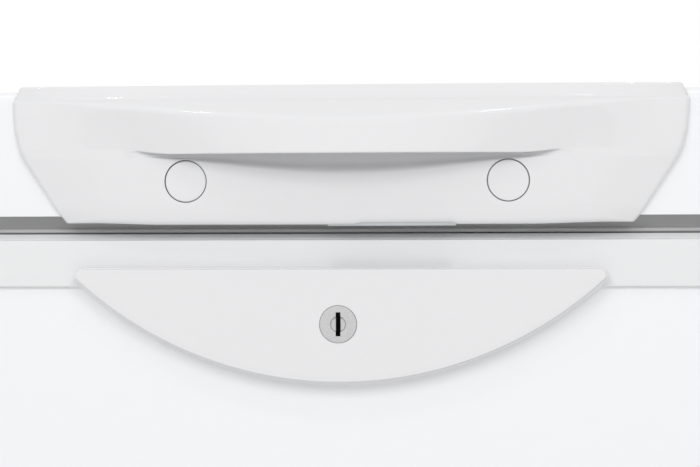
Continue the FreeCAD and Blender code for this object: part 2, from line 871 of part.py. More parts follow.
def lid_liner():
    """Formed plastic underside with a shallow plug that sits inside the collar."""
    inset = sheet + touch - lid_proud
    rim = trimmed_slab(inset, lid_z, lid_z + lid_liner_sheet, corner_radius + lid_proud)
    low = lid_z - lid_plug_depth
    body = rim.fuse(lid_plug(0, low, lid_z + lid_liner_sheet))
    return body.cut(lid_plug(lid_liner_sheet, low + lid_liner_sheet, lid_z + 5))


def lid_foam():
    low = lid_z + lid_liner_sheet + touch
    edge = sheet + touch
    block = trimmed_slab(edge - lid_proud, low, lid_top - edge, corner_radius + lid_proud)
    rim = [e for e in block.Edges if abs(e.CenterOfMass.z - lid_top + edge) < 0.01]
    block = block.makeChamfer(lid_edge_radius, rim)
    plug = lid_plug(lid_liner_sheet + touch, low - lid_plug_depth, low + 1)
    block = block.fuse(plug)
    for x, z in handle_screw_places():
        block = block.cut(bar(handle_screw_radius + gap, 60, (x, front_y - 10, z), (0, 1, 0)))
    return block


def lid_gasket():
    """Bellows seal in three steps under the lid's rim, mitred at its corners."""
    base = collar_z + gap
    span = seal_gap - gap - touch
    steps = [(0, span * 0.32, 0), (span * 0.32, span * 0.62, 4), (span * 0.62, span, 1)]
    rings = []
    for low, high, pinch in steps:
        outer = trimmed_slab(seal_inset + pinch, base + low, base + high, 3)
        inner = trimmed_slab(seal_inset + seal_width - pinch, base + low - 1, base + high + 1, 1)
        rings.append(outer.cut(inner))
    return fuse(rings)


# handle


def bump(x, half, power):
    """1 in the middle, falling smoothly to 0 at half."""
    if abs(x) >= half:
        return 0.0
    return math.cos(math.pi * x / (2 * half)) ** power


def face_p(x):
    """Front of the plain face: flat in the middle and swept back towards the ends."""
    beyond = max(abs(x) - handle_flat, 0) / (handle_half_width - handle_flat)
    return handle_face - handle_sweep * beyond ** 2


def lip_p(x):
    return face_p(x) + (handle_depth - handle_face) * bump(x, lip_half_width, 1.3)


def ridge_point(x):
    rise = 0.06 + 0.94 * bump(x, ridge_half_width, 1.3)
    start = face_p(x) - 2.0
    return (start + (ridge_reach - handle_face + 2.0) * rise, handle_top - crease_drop - ridge_drop * rise)


def band_p(x):
    return handle_band - handle_sweep * 0.4 * (x / handle_half_width) ** 2


def segment(start, end):
    return Part.LineSegment(start, end).toShape()


def arc(start, middle, end):
    return Part.Arc(start, middle, end).toShape()


def handle_outline(inset):
    """Front view of the handle: straight top, drawn-in lower sides, rounded foot corners."""
    half = handle_half_width - inset
    top = handle_top - inset
    low = handle_bottom + inset
    waist = handle_top - handle_waist_drop
    bend = handle_top - handle_bend_drop
    foot = handle_foot_half_width - inset
    corner = handle_foot_corner
    points = [(handle_band_half_width - inset, top), (half, handle_top - crease_drop + 1)]
    points += [(half - 0.15 * handle_side_draw, waist), (half - 0.44 * handle_side_draw, (waist + bend) / 2)]
    points += [(half - handle_side_draw, bend), (foot + corner + 1, low + corner)]
    points += [(foot + 0.8 * corner, low + 0.3 * corner), (foot, low)]
    right = [FreeCAD.Vector(x, 0, z) for x, z in points]
    left = [FreeCAD.Vector(-x, 0, z) for x, z in points]
    edges = [segment(left[0], right[0]), segment(left[-1], right[-1])]
    for v in (right, left):
        edges += [segment(v[0], v[1]), segment(v[1], v[2]), arc(v[2], v[3], v[4])]
        edges += [segment(v[4], v[5]), arc(v[5], v[6], v[7])]
    return Part.Wire(Part.__sortEdges__(edges))


def outline_prism(inset, p0, p1):
    wire = handle_outline(inset)
    wire.translate(FreeCAD.Vector(0, py(p1), 0))
    return Part.Face(wire).extrude(FreeCAD.Vector(0, p1 - p0, 0))


def section_loft(section, stations, ruled=False):
    """A solid through one (p, z) outline at each station along X."""
    wires = []
    for x in stations:
        points = [FreeCAD.Vector(x, py(p), z) for p, z in section(x)]
        wires.append(Part.makePolygon(points + points[:1]))
    return Part.makeLoft(wires, True, ruled)


def shell_section(x):
    crease = handle_top - crease_drop
    return [(lid_proud, handle_top), (band_p(x), handle_top), (face_p(x) - 2.0, crease), ridge_point(x),
            (lip_p(x), grip_z), (face_p(x) - handle_face + handle_foot, handle_bottom),
            (lid_proud, handle_bottom)]


def cavity_section(x):
    top = handle_top - handle_wall
    front = face_p(x) - handle_wall - recess_setback * bump(x, recess_half_width, 0.75) - 0.5
    foot = face_p(x) - handle_face + handle_foot - handle_wall
    return [(0, top), (band_p(x) - handle_wall, top), (front, handle_top - crease_drop - 2),
            (foot, handle_bottom + handle_wall), (0, handle_bottom + handle_wall)]


def recess_section(x):
    """The finger recess: a crescent below the grip's lip and a pocket up behind it."""
    open_by = max(bump(x, recess_half_width, 0.75), 0.03)
    back = handle_face - recess_setback * open_by
    lip = max(lip_p(x) - grip_wall, handle_face + 3.0)
    ceiling = grip_z + (ridge_point(x)[1] - grip_wall - 0.4 - grip_z) * open_by
    return [(handle_face + 0.1, grip_z - recess_height * open_by), (back - 0.3, grip_z - 4 * open_by),
            (back, grip_z + recess_rise * open_by), (back + 0.2 + (lip - 2.8 - back) * open_by, ceiling),
            (lip, grip_z - 0.4)]


def handle_body():
    """Moulded handle: bowed grip over a finger recess, hollow behind, with two screw bosses."""
    reach = handle_half_width + 8
    outer_stations = [-reach, -150, -125, -100, -75, -50, -25, 0, 25, 50, 75, 100, 125, 150, reach]
    body = section_loft(shell_section, outer_stations)
    body = body.common(outline_prism(0, lid_proud, handle_depth + 5))
    face = [(handle_face, grip_z), (handle_depth + 10, grip_z), (handle_depth + 10, handle_bottom - 5),
            (handle_foot - 0.2, handle_bottom - 5)]
    lower = prism_x([(py(p), z) for p, z in face], -recess_half_width, recess_half_width)
    body = body.cut(lower)
    edge = recess_half_width - 0.5
    inner_stations = [-edge, -90, -75, -50, -25, 0, 25, 50, 75, 90, edge]
    body = body.cut(section_loft(recess_section, inner_stations))
    cavity = section_loft(cavity_section, outer_stations, True)
    body = body.cut(cavity.common(outline_prism(handle_wall, lid_proud - 2, handle_depth)))
    flange = box(-handle_band_half_width, handle_band_half_width, py(lid_proud + 1), py(-flange_reach),
                 lid_top, handle_top)
    bosses = [bar(cap_radius + 3, face_p(0) - 2.5 - lid_proud, (x, py(face_p(0) - 2.5), z), (0, 1, 0), 12)
              for x, z in handle_screw_places()]
    body = fuse([body, flange] + bosses)
    cuts = []
    for x, z in handle_screw_places():
        cuts.append(rod(cap_radius + cap_ring, 20, (x, py(cap_seat + 20), z), (0, 1, 0)))
        well = cap_seat - screw_seat + 0.1
        cuts.append(bar(screw_well_radius, well, (x, py(cap_seat + 0.1), z), (0, 1, 0), 8))
        cuts.append(bar(handle_screw_radius + gap, 10, (x, py(screw_seat + 1), z), (0, 1, 0)))
    x0 = lock_x + strike_slot_start - strike_end_width - gap
    x1 = lock_x + strike_slot_end + strike_end_width + gap
    cuts.append(box(x0, x1, py(strike_leg_p + strike_sheet + gap), py(lid_proud - 1), handle_bottom - 1,
                    handle_bottom + handle_wall + 1))
    for x, z in strike_screw_places():
        tip = py(strike_leg_p + strike_sheet + strike_screw_bite + 0.2)
        cuts.append(bar(strike_screw_bore, 5, (x, tip, z), (0, 1, 0)))
    return body.cut(Part.makeCompound(cuts))


def handle_cap(side):
    """Round push-in cover over a handle screw."""
    x = side * cap_spacing / 2
    front = cap_face_p()
    cap = rod(cap_radius, front - cap_seat - touch, (x, py(front), cap_z), (0, 1, 0))
    rim = [e for e in cap.Edges if e.Closed and abs(e.CenterOfMass.y - py(front)) < 0.01]
    return cap.makeChamfer(0.6, rim)


def cap_face_p():
    slope = (handle_face - handle_foot) / (grip_z - handle_bottom)
    return handle_foot + slope * (cap_z - handle_bottom) - 0.1


def handle_screws():
    screws = []
    for x, z in handle_screw_places():
        head = bar(5.6, 3, (x, py(screw_seat + touch + 3), z), (0, 1, 0), 8)
        shank = bar(handle_screw_radius, handle_screw_length, (x, py(screw_seat + touch), z), (0, 1, 0))
        screws.append(head.fuse(shank))
    return Part.makeCompound(screws)


def strike_screw_places():
    z = handle_bottom + strike_screw_rise
    x0 = lock_x + strike_slot_start - strike_end_width
    x1 = lock_x + strike_slot_end + strike_end_width
    return [(x0 + strike_screw_edge, z), (x1 - strike_screw_edge, z)]


def strike_plate():
    """Steel angle under the handle, with the slot that the lock's barb enters."""
    x0 = lock_x + strike_slot_start - strike_end_width
    x1 = lock_x + strike_slot_end + strike_end_width
    front = strike_leg_p + strike_sheet
    z1 = handle_bottom - touch
    floor = box(x0, x1, py(front), py(lid_proud), z1 - strike_sheet, z1)
    leg_top = handle_bottom + strike_screw_rise + strike_screw_edge
    leg = box(x0, x1, py(front), py(strike_leg_p), z1 - strike_sheet, leg_top)
    plate = floor.fuse(leg)
    slot = box(lock_x + strike_slot_start, lock_x + strike_slot_end, py(strike_leg_p - 0.2),
               py(lid_proud - 1), z1 - 5, z1 + 5)
    plate = plate.cut(slot)
    for x, z in strike_screw_places():
        plate = plate.cut(bar(strike_screw_bore, 10, (x, py(front + 4), z), (0, 1, 0)))
    return plate


def strike_screws():
    screws = []
    for x, z in strike_screw_places():
        head = bar(2.7, 1.4, (x, py(strike_leg_p - touch), z), (0, 1, 0))
        far = py(strike_leg_p + strike_sheet + strike_screw_bite)
        shank = bar(strike_screw_radius, strike_sheet + strike_screw_bite + 1, (x, far, z), (0, 1, 0))
        screws.append(head.fuse(shank))
    return Part.makeCompound(screws)


# lock


def half_moon(inset, top_inset, p):
    """The escutcheon's outline at one depth: straight top, one wide arc below."""
    top = escutcheon_top - top_inset
    end = escutcheon_top - escutcheon_end
    low = escutcheon_top - escutcheon_height
    sagitta = end - low
    radius = (escutcheon_half_width ** 2 + sagitta ** 2) / (2 * sagitta)
    centre = low + radius
    corner = max(escutcheon_corner - inset, 1.0)
    arc_end = top - corner - (escutcheon_end - escutcheon_corner)
    half = math.sqrt((radius - inset) ** 2 - (centre - arc_end) ** 2)
    bend = corner * (1 - math.sqrt(0.5))

    def at(x, z):
        return FreeCAD.Vector(lock_x + x, py(p), z)

    side = top - corner
    edges = [segment(at(corner - half, top), at(half - corner, top))]
    edges.append(arc(at(half - corner, top), at(half - bend, top - bend), at(half, side)))
    edges.append(segment(at(half, side), at(half, arc_end)))
    edges.append(arc(at(half, arc_end), at(0, low + inset), at(-half, arc_end)))
    edges.append(segment(at(-half, arc_end), at(-half, side)))
    edges.append(arc(at(-half, side), at(bend - half, top - bend), at(corner - half, top)))
    return Part.Wire(edges)


def moon_block(inset, top_inset, p0, p1):
    face = Part.Face(half_moon(inset, top_inset, p1))
    return face.extrude(FreeCAD.Vector(0, p1 - p0, 0))


def escutcheon():
    """Half-moon cover with a bevelled rim; the lock's arm leaves through its top."""
    rim = moon_block(0, 0, 0, escutcheon_edge)
    crown = Part.makeLoft([half_moon(0, 0, escutcheon_edge),
                           half_moon(escutcheon_bevel, escutcheon_top_bevel, escutcheon_face)], True, True)
    body = rim.fuse(crown)
    t = escutcheon_wall
    hollow = moon_block(t, t, -1, escutcheon_edge - 0.5)
    deep = Part.makeLoft([half_moon(t, t, escutcheon_edge - 0.6),
                          half_moon(escutcheon_bevel + t, escutcheon_top_bevel + t, escutcheon_face - t)],
                         True, True)
    body = body.cut(hollow).cut(deep)
    step = box(-width, width, py(collar_proud + touch), py(-1), skirt_z - gap, escutcheon_top + 1)
    body = body.cut(step)
    front = escutcheon_face - t + 0.2
    boss = rod(lock_face_radius + 3, front - boss_back, (lock_x, py(front), lock_z), (0, 1, 0))
    body = body.fuse(boss)
    slot = box(lock_x - 3, lock_x + arm_radius - 3.5, py(arm_back + arm_sheet + 1), py(collar_proud - 1),
               escutcheon_top - t - 3, escutcheon_top + 1)
    bore = rod(lock_bore_radius, 30, (lock_x, py(20), lock_z), (0, 1, 0))
    return body.cut(slot).cut(bore)


def lock_sleeve():
    length = sleeve_front - boss_back
    inner = lock_barrel_radius + barrel_clearance
    return pipe(lock_bore_radius - touch, inner, length, (lock_x, py(sleeve_front), lock_z), (0, 1, 0))


def lock_plug():
    """Lock barrel with a round face, a shallow centre dimple and the key slot."""
    thickness = lock_face_proud - sleeve_front - 0.1
    face = rod(lock_face_radius, thickness, (lock_x, py(lock_face_proud), lock_z), (0, 1, 0))
    rim = [e for e in face.Edges if e.Closed and abs(e.CenterOfMass.y - py(lock_face_proud)) < 0.01]
    face = face.makeChamfer(0.4, rim)
    barrel = rod(lock_barrel_radius, lock_barrel_length, (lock_x, py(lock_face_proud - 1), lock_z), (0, 1, 0))
    dimple = rod(3.9, 0.5, (lock_x, py(lock_face_proud + 0.2), lock_z), (0, 1, 0))
    slot = box(lock_x - key_slot_width / 2, lock_x + key_slot_width / 2, py(lock_face_proud + 1),
               py(lock_face_proud - 20), lock_z - key_slot_height / 2, lock_z + key_slot_height / 2)
    return face.fuse(barrel).cut(dimple).cut(slot)


def lock_arm():
    """Steel hook on the barrel: a straight arm with a barb on its leading side."""
    y0 = py(arm_back + arm_sheet)
    y1 = py(arm_back)
    hub = rod(lock_barrel_radius + 3, arm_sheet, (0, y0, 0), (0, 1, 0))
    bar = box(0, arm_radius, y0, y1, -arm_width / 2, arm_width / 2)
    barb = [(arm_radius - barb_height, 0), (arm_radius, 0), (arm_radius - 1.5, barb_lead),
            (arm_radius - barb_height, barb_lead)]
    arm = fuse([hub, bar, prism_y(barb, y0, y1)])
    arm = arm.common(rod(arm_radius, arm_sheet, (0, y0, 0), (0, 1, 0)))
    arm = arm.cut(rod(lock_barrel_radius + 0.02, arm_sheet, (0, y0, 0), (0, 1, 0)))
    arm.rotate(FreeCAD.Vector(0, 0, 0), FreeCAD.Vector(0, -1, 0), arm_rest_angle)
    arm.translate(FreeCAD.Vector(lock_x, 0, lock_z))
    return arm


def lock_clip():
    """Open retaining ring behind the arm."""
    clip = bar(lock_barrel_radius + 2, 0.9, (lock_x, py(arm_back - touch), lock_z), (0, 1, 0), 16)
    clip = clip.cut(rod(lock_barrel_radius + 0.02, 4, (lock_x, py(arm_back + 1), lock_z), (0, 1, 0)))
    return clip.cut(box(lock_x - 3, lock_x + 3, py(arm_back + 1), py(arm_back - 3), lock_z - 12, lock_z - 4))


def lock_pocket():
    """Cup behind the front sheet that keeps the foam off the barrel."""
    cup = bar(lock_window_radius - 0.2, lock_pocket_depth, (lock_x, py(0), lock_z), (0, 1, 0), 16)
    flange = bar(lock_window_radius + 3, 1.2, (lock_x, py(1.2), lock_z), (0, 1, 0), 16)
    hollow = bar(lock_window_radius - 1.7, lock_pocket_depth, (lock_x, py(2), lock_z), (0, 1, 0), 16)
    return cup.fuse(flange).cut(hollow)


# hinges


def hinge_x(side):
    return side * hinge_spacing / 2


def hinge_bottom():
    return axis_z + hinge_top_rise - hinge_height


def spring_seat_z():
    return hinge_bottom() + hinge_seat_rise


def hinge_screw_places(side):
    z = hinge_bottom() + hinge_screw_rise
    x = hinge_x(side)
    return [(x - hinge_screw_half, z), (x + hinge_screw_half, z), (x, z + hinge_screw_pitch)]


def hinge_body(side):
    """Folded steel channel behind the cabinet that carries the pin and the spring's seat."""
    x = hinge_x(side)
    half = hinge_width / 2
    back = rear_y - sheet
    low = hinge_bottom()
    under = skirt_z - gap
    top = axis_z + hinge_top_rise
    past = rear_y + lid_proud + 0.6
    end = rear_y + hinge_depth
    web = box(x - half, x + half, back, back + hinge_sheet, low, under)
    front = axis_y - cheek_front
    outline = [(back, low), (back, under), (past, under), (past, lid_z - 1), (front, lid_z - 1)]
    outline += [(front, axis_z - 1), (axis_y - 7, axis_z + 7), (axis_y, top), (axis_y + 8, axis_z + 6)]
    outline += [(end, axis_z - 2), (end, low + 40), (back + 9, low)]
    cheeks = []
    for x0 in (x - half, x + half - hinge_sheet):
        cheek = prism_x(outline, x0, x0 + hinge_sheet)
        cheeks.append(cheek.cut(rod(hinge_pin_radius + touch, 6, (x0 - 2, axis_y, axis_z), (1, 0, 0))))
    seat = box(x - half, x + half, back, rear_y + hinge_depth - 3, spring_seat_z() - 2, spring_seat_z())
    body = fuse([web, seat] + cheeks)
    body = body.cut(bar(plunger_rod + 2 * gap, 10, (x, axis_y, spring_seat_z() - 6), (0, 0, 1), 12))
    for sx, sz in hinge_screw_places(side):
        body = body.cut(bar(screw_bore, 10, (sx, back - 4, sz), (0, 1, 0)))
    return body


def hinge_screw(x, y, z):
    """Screw whose head bears at y and whose shank points forward."""
    head = bar(screw_head_radius, screw_head_height, (x, y, z), (0, 1, 0))
    return head.fuse(bar(screw_radius, screw_length, (x, y - screw_length, z), (0, 1, 0)))


def hinge_screws():
    y = rear_y - sheet + hinge_sheet + touch
    return Part.makeCompound([hinge_screw(x, y, z) for side in (-1, 1) for x, z in hinge_screw_places(side)])


def hinge_screw_holes():
    holes = []
    for side in (-1, 1):
        for x, z in hinge_screw_places(side):
            holes.append(bar(screw_bore, 16, (x, rear_y - screw_length, z), (0, 1, 0)))
    return Part.makeCompound(holes)


def wing_screw_places(side):
    x = hinge_x(side)
    return [(x, lid_z + wing_screw_rise), (x, lid_z + wing_screw_rise + wing_screw_pitch)]


def wing_screw_holes():
    holes = []
    for side in (-1, 1):
        for x, z in wing_screw_places(side):
            holes.append(bar(screw_bore, 24, (x, rear_y - screw_length, z), (0, 1, 0)))
    return Part.makeCompound(holes)


def cam_outline():
    """Involute of the cam's base circle, so that its flat follower moves in step with the lid."""
    points = [(axis_y, axis_z)]
    for i in range(9):
        turn = math.radians(lid_opening + 3) * i / 8
        y = cam_radius
        z = -(cam_start + cam_radius * turn)
        points.append((axis_y + y * math.cos(turn) - z * math.sin(turn),
                       axis_z + y * math.sin(turn) + z * math.cos(turn)))
    return points


def hinge_wing(side):
    """Lid leaf with two ears round the pin and the lifting cam between them."""
    x = hinge_x(side)
    half = hinge_width / 2 - hinge_sheet - 1.5
    y0 = rear_y + lid_proud
    plate = box(x - half, x + half, y0, y0 + leaf_thickness, axis_z + 4, lid_top - 8)
    outline = [(y0 + 1, axis_z + 5), (y0 + 1, lid_top - 14), (y0 + 3, lid_top - 14)]
    outline += [(axis_y + 6.5, axis_z + 2), (axis_y, axis_z - 3)]
    pieces = [plate]
    for x0 in (x - half, x + half - ear_thickness):
        pieces.append(prism_x(outline, x0, x0 + ear_thickness))
        pieces.append(bar(ear_radius, ear_thickness, (x0, axis_y, axis_z), (1, 0, 0), 12))
    pieces.append(bar(cam_radius, 2 * half, (x - half, axis_y, axis_z), (1, 0, 0), 12))
    pieces.append(prism_x(cam_outline(), x - cam_width / 2, x + cam_width / 2))
    wing = fuse(pieces)
    bore = hinge_pin_radius + hinge_bore_clearance
    wing = wing.cut(rod(bore, hinge_width, (x - hinge_width / 2, axis_y, axis_z), (1, 0, 0)))
    for sx, sz in wing_screw_places(side):
        wing = wing.cut(bar(screw_bore, 10, (sx, y0 - 3, sz), (0, 1, 0)))
    return wing


def wing_screws():
    y = rear_y + lid_proud + leaf_thickness + touch
    return Part.makeCompound([hinge_screw(x, y, z) for side in (-1, 1) for x, z in wing_screw_places(side)])


def hinge_pin(side):
    x = hinge_x(side)
    half = hinge_width / 2
    shank = rod(hinge_pin_radius, hinge_width + 3, (x - half - 1, axis_y, axis_z), (1, 0, 0))
    head = bar(hinge_pin_radius + 2, 2, (x - half - 2 - touch, axis_y, axis_z), (1, 0, 0), 8)
    return shank.fuse(head)


def hinge_plunger(side):
    """Flat follower under the cam, with the rod that guides the spring."""
    x = hinge_x(side)
    half = hinge_width / 2 - hinge_sheet - gap
    top = axis_z - cam_start - gap
    head = box(x - half, x + half, axis_y - 9, axis_y + 11, top - plunger_thickness, top)
    under = top - plunger_thickness
    low = spring_seat_z() - 12
    return head.fuse(bar(plunger_rod, under - low + 1, (x, axis_y, low), (0, 0, 1), 12))


def hinge_spring(side):
    """Compression spring between the seat and the follower, its ends ground flat."""
    x = hinge_x(side)
    low = spring_seat_z() + touch
    high = axis_z - cam_start - gap - plunger_thickness - touch
    half = spring_wire / 2
    steps = 8 * spring_turns
    rise = (high - low - spring_wire * 1.5) / steps
    points = []
    for i in range(steps + 1):
        angle = 2 * math.pi * i / 8
        points.append((x + spring_radius * math.cos(angle), axis_y + spring_radius * math.sin(angle),
                       low + spring_wire * 0.75 + rise * i))
    return wire_path(points, half, 4)


# feet and basket


def foot(place):
    """Levelling foot: a round pad on a threaded stem."""
    x, y = place
    pad = bar(foot_pad_radius, 9, (x, y, 0), (0, 0, 1), 24)
    pad = pad.makeChamfer(4, [e for e in pad.Edges if abs(e.CenterOfMass.z - 9) < 0.01])
    hub = bar(9, 14, (x, y, 0), (0, 0, 1))
    stem = bar(foot_stem_radius, foot_stem_length, (x, y, 0), (0, 0, 1), 12)
    return fuse([pad, hub, stem])


def foot_nuts():
    """Hexagon nuts on the base pan that the feet screw into."""
    nuts = []
    z = base_z + base_sheet + touch
    for x, y in foot_places():
        corners = [(x + nut_reach * math.cos(math.pi * i / 3), y + nut_reach * math.sin(math.pi * i / 3))
                   for i in range(6)]
        nut = prism_z(corners, z, z + 8)
        nuts.append(nut.cut(bar(foot_stem_radius + 0.4, 20, (x, y, z - 5), (0, 0, 1), 12)))
    return Part.makeCompound(nuts)


def storage_basket():
    """Basket of welded mesh that hangs by two rails on the collar's ledge."""
    x0 = -half_x + wall + basket_from_left
    x1 = x0 + basket_length
    inner_y = depth / 2 - wall - ledge_overlap - 5
    rail_y = depth / 2 - wall - ledge_overlap + 8
    z1 = ledge_z + gap + basket_rim
    z0 = z1 - basket_depth
    wire = basket_wire
    outside = box(x0, x1, middle_y - inner_y, middle_y + inner_y, z0, z1)
    inside = box(x0 + wire, x1 - wire, middle_y - inner_y + wire, middle_y + inner_y - wire,
                 z0 + wire, z1 + 1)
    mesh = outside.cut(inside)
    side_cells = windows(x0 + wire, x1 - wire, basket_pitch)
    end_cells = windows(middle_y - inner_y + wire, middle_y + inner_y - wire, basket_pitch)
    rows = windows(z0 + wire, z1 - basket_rim - wire, basket_depth / 2.2)
    cells = [box(a, b, middle_y - depth, middle_y + depth, c, d) for a, b in side_cells for c, d in rows]
    cells += [box(x0 - 10, x1 + 10, a, b, c, d) for a, b in end_cells for c, d in rows]
    halves = windows(x0 + wire, x1 - wire, basket_length / 2.2)
    cells += [box(a, b, c, d, z0 - 5, z0 + 5) for a, b in halves for c, d in end_cells]
    mesh = mesh.cut(Part.makeCompound(cells))
    parts = [mesh]
    for side in (-1, 1):
        y = middle_y + side * rail_y
        near, far = sorted((y, y + side * basket_rim))
        parts.append(box(x0, x1, near, far, z1 - basket_rim, z1))
        for x in (x0, (x0 + x1 - basket_rim) / 2, x1 - basket_rim):
            ends = sorted((middle_y + side * (inner_y - wire / 2), y + side * basket_rim / 2))
            parts.append(box(x, x + basket_rim, ends[0], ends[1], z1 - basket_rim, z1))
    return fuse(parts)


def windows(low, high, pitch):
    """Equal openings between wires over one stretch."""
    count = max(1, round((high - low + basket_wire) / pitch))
    cell = (high - low + basket_wire) / count
    return [(low + cell * i, low + cell * (i + 1) - basket_wire) for i in range(count)]


# all the pieces

foot_names = ("foot_front_left", "foot_front_right", "foot_rear_left", "foot_rear_right")

pieces = {
    "outer_wrapper": outer_wrapper(),
    "rear_panel": rear_panel().cut(hinge_screw_holes()),
    "base_pan": base_pan(),
    "inner_liner": inner_liner(),
    "machine_wall": machine_wall(),
    "foam_insulation": foam_insulation().cut(hinge_screw_holes()),
    "evaporator_coil": evaporator_coil(),
    "top_collar": top_collar(),
    "compressor_shell": compressor_with_stub(),
    "compressor_mount": compressor_mount(),
    "compressor_grommets": compressor_grommets(),
    "compressor_bolts": compressor_bolts(),
    "relay_cover": relay_cover(),
    "suction_line": suction_line(),
    "discharge_line": discharge_line(),
    "filter_drier": filter_drier(),
    "capillary_coil": capillary_coil(),
    "side_grille": side_grille(),
    "machine_cover": machine_cover(),
    "power_inlet": power_inlet(),
    "control_panel": control_panel(),
    "indicator_lenses": indicator_lenses(),
    "thermostat_body": thermostat_body(),
    "thermostat_knob": thermostat_knob(),
    "drain_tube": drain_tube(),
    "drain_bezel": drain_bezel(),
    "drain_cap": drain_cap(),
    "drain_plug": drain_plug(),
    "lid_skin": lid_skin().cut(wing_screw_holes()),
    "lid_liner": lid_liner(),
    "lid_foam": lid_foam().cut(wing_screw_holes()),
    "lid_gasket": lid_gasket(),
    "lid_handle": handle_body(),
    "handle_caps": Part.makeCompound([handle_cap(-1), handle_cap(1)]),
    "handle_screws": handle_screws(),
    "strike_plate": strike_plate(),
    "strike_screws": strike_screws(),
    "escutcheon": escutcheon(),
    "lock_sleeve": lock_sleeve(),
    "lock_plug": lock_plug(),
    "lock_arm": lock_arm(),
    "lock_clip": lock_clip(),
    "lock_pocket": lock_pocket(),
    "foot_nuts": foot_nuts(),
    "hinge_pins": Part.makeCompound([hinge_pin(-1), hinge_pin(1)]),
    "hinge_screws": hinge_screws(),
    "wing_screws": wing_screws(),
    "storage_basket": storage_basket(),
}
for name, place in zip(foot_names, foot_places()):
    pieces[name] = foot(place)
for side, name in ((-1, "left"), (1, "right")):
    pieces["hinge_body_" + name] = hinge_body(side)
    pieces["hinge_wing_" + name] = hinge_wing(side)
    pieces["hinge_spring_" + name] = hinge_spring(side)
    pieces["hinge_plunger_" + name] = hinge_plunger(side)

os.makedirs("parts", exist_ok=True)
for name, shape in pieces.items():
    shape.exportStep("parts/" + name + ".step")
    print(name, "solids", len(shape.Solids), "valid", shape.isValid())
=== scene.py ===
import json
import math
import bmesh
import bpy
import numpy as np
from mathutils import Matrix, Vector

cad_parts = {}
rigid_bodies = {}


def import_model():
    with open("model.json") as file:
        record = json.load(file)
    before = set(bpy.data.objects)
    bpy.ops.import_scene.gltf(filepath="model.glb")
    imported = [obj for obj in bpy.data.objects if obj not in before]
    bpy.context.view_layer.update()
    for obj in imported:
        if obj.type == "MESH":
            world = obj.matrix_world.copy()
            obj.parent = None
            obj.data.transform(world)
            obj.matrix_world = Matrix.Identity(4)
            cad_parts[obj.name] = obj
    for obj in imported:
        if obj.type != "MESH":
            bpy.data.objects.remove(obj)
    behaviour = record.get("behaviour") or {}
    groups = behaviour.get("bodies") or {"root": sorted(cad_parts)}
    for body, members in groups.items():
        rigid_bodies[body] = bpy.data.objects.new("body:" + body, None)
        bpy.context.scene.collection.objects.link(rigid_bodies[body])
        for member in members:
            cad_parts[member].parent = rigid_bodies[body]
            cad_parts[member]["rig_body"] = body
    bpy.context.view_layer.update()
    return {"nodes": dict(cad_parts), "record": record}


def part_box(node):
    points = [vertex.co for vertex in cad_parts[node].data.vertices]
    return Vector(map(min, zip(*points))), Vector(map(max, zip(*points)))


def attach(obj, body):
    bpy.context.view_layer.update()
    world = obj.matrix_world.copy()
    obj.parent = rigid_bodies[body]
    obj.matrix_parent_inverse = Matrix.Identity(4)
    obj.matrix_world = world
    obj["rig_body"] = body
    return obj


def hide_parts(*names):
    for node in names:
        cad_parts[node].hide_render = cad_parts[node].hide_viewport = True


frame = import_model()
print("frame loaded:", len(frame["nodes"]), "nodes")

mm = 0.001
softAngle = 32      # degrees between faces past which an edge stays sharp
wrapperLow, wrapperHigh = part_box("outer_wrapper")
frontY = wrapperLow.y / mm      # the cabinet's front face; a place p stands p millimetres before it
rearY = wrapperHigh.y / mm
halfX = wrapperHigh.x / mm
middleY = (frontY + rearY) / 2
halfY = (rearY - frontY) / 2
towardsViewer = (0, -1, 0)


# the corners of a CAD node's box in millimetres
def lowHigh(node):
    low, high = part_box(node)
    return np.array(low) / mm, np.array(high) / mm


# quads between neighbouring rows and columns of a numbered grid
def gridFaces(rows, columns, wrapRows=False, wrapColumns=False):
    row = np.arange(rows if wrapRows else rows - 1)
    column = np.arange(columns if wrapColumns else columns - 1)
    row, column = np.meshgrid(row, column, indexing="ij")
    nextRow = (row + 1) % rows
    nextColumn = (column + 1) % columns
    corners = [row * columns + column, nextRow * columns + column,
               nextRow * columns + nextColumn, row * columns + nextColumn]
    return np.stack(corners, -1).reshape(-1, 4)


# a grid of points as a part: its points, its quads, and a flat face over the first or last row
def surface(points, wrapRows=False, wrapColumns=False, capFirst=False, capLast=False):
    rows, columns = points.shape[:2]
    faces = gridFaces(rows, columns, wrapRows, wrapColumns).tolist()
    if capFirst:
        faces.append(list(range(columns)))
    if capLast:
        faces.append(list(range((rows - 1) * columns, rows * columns)))
    return points.reshape(-1, 3), faces


# each corner of a polyline becomes a parabola that starts and ends a cut's length from it
def rounded(corners, cuts, steps=5):
    corners = np.asarray(corners, float)
    before = np.roll(corners, 1, axis=-2) - corners
    after = np.roll(corners, -1, axis=-2) - corners
    lengthBefore = np.maximum(np.linalg.norm(before, axis=-1, keepdims=True), 1e-9)
    lengthAfter = np.maximum(np.linalg.norm(after, axis=-1, keepdims=True), 1e-9)
    room = 0.48 * np.minimum(lengthBefore, lengthAfter)      # so that neighbouring curves never meet
    cut = np.minimum(np.asarray(cuts, float)[..., None], room)
    start = (corners + before / lengthBefore * cut)[..., None, :]
    end = (corners + after / lengthAfter * cut)[..., None, :]
    share = np.linspace(0, 1, steps)[:, None]
    curve = ((1 - share) ** 2 * start + 2 * share * (1 - share) * corners[..., None, :]
             + share ** 2 * end)
    return curve.reshape(*corners.shape[:-2], -1, corners.shape[-1])


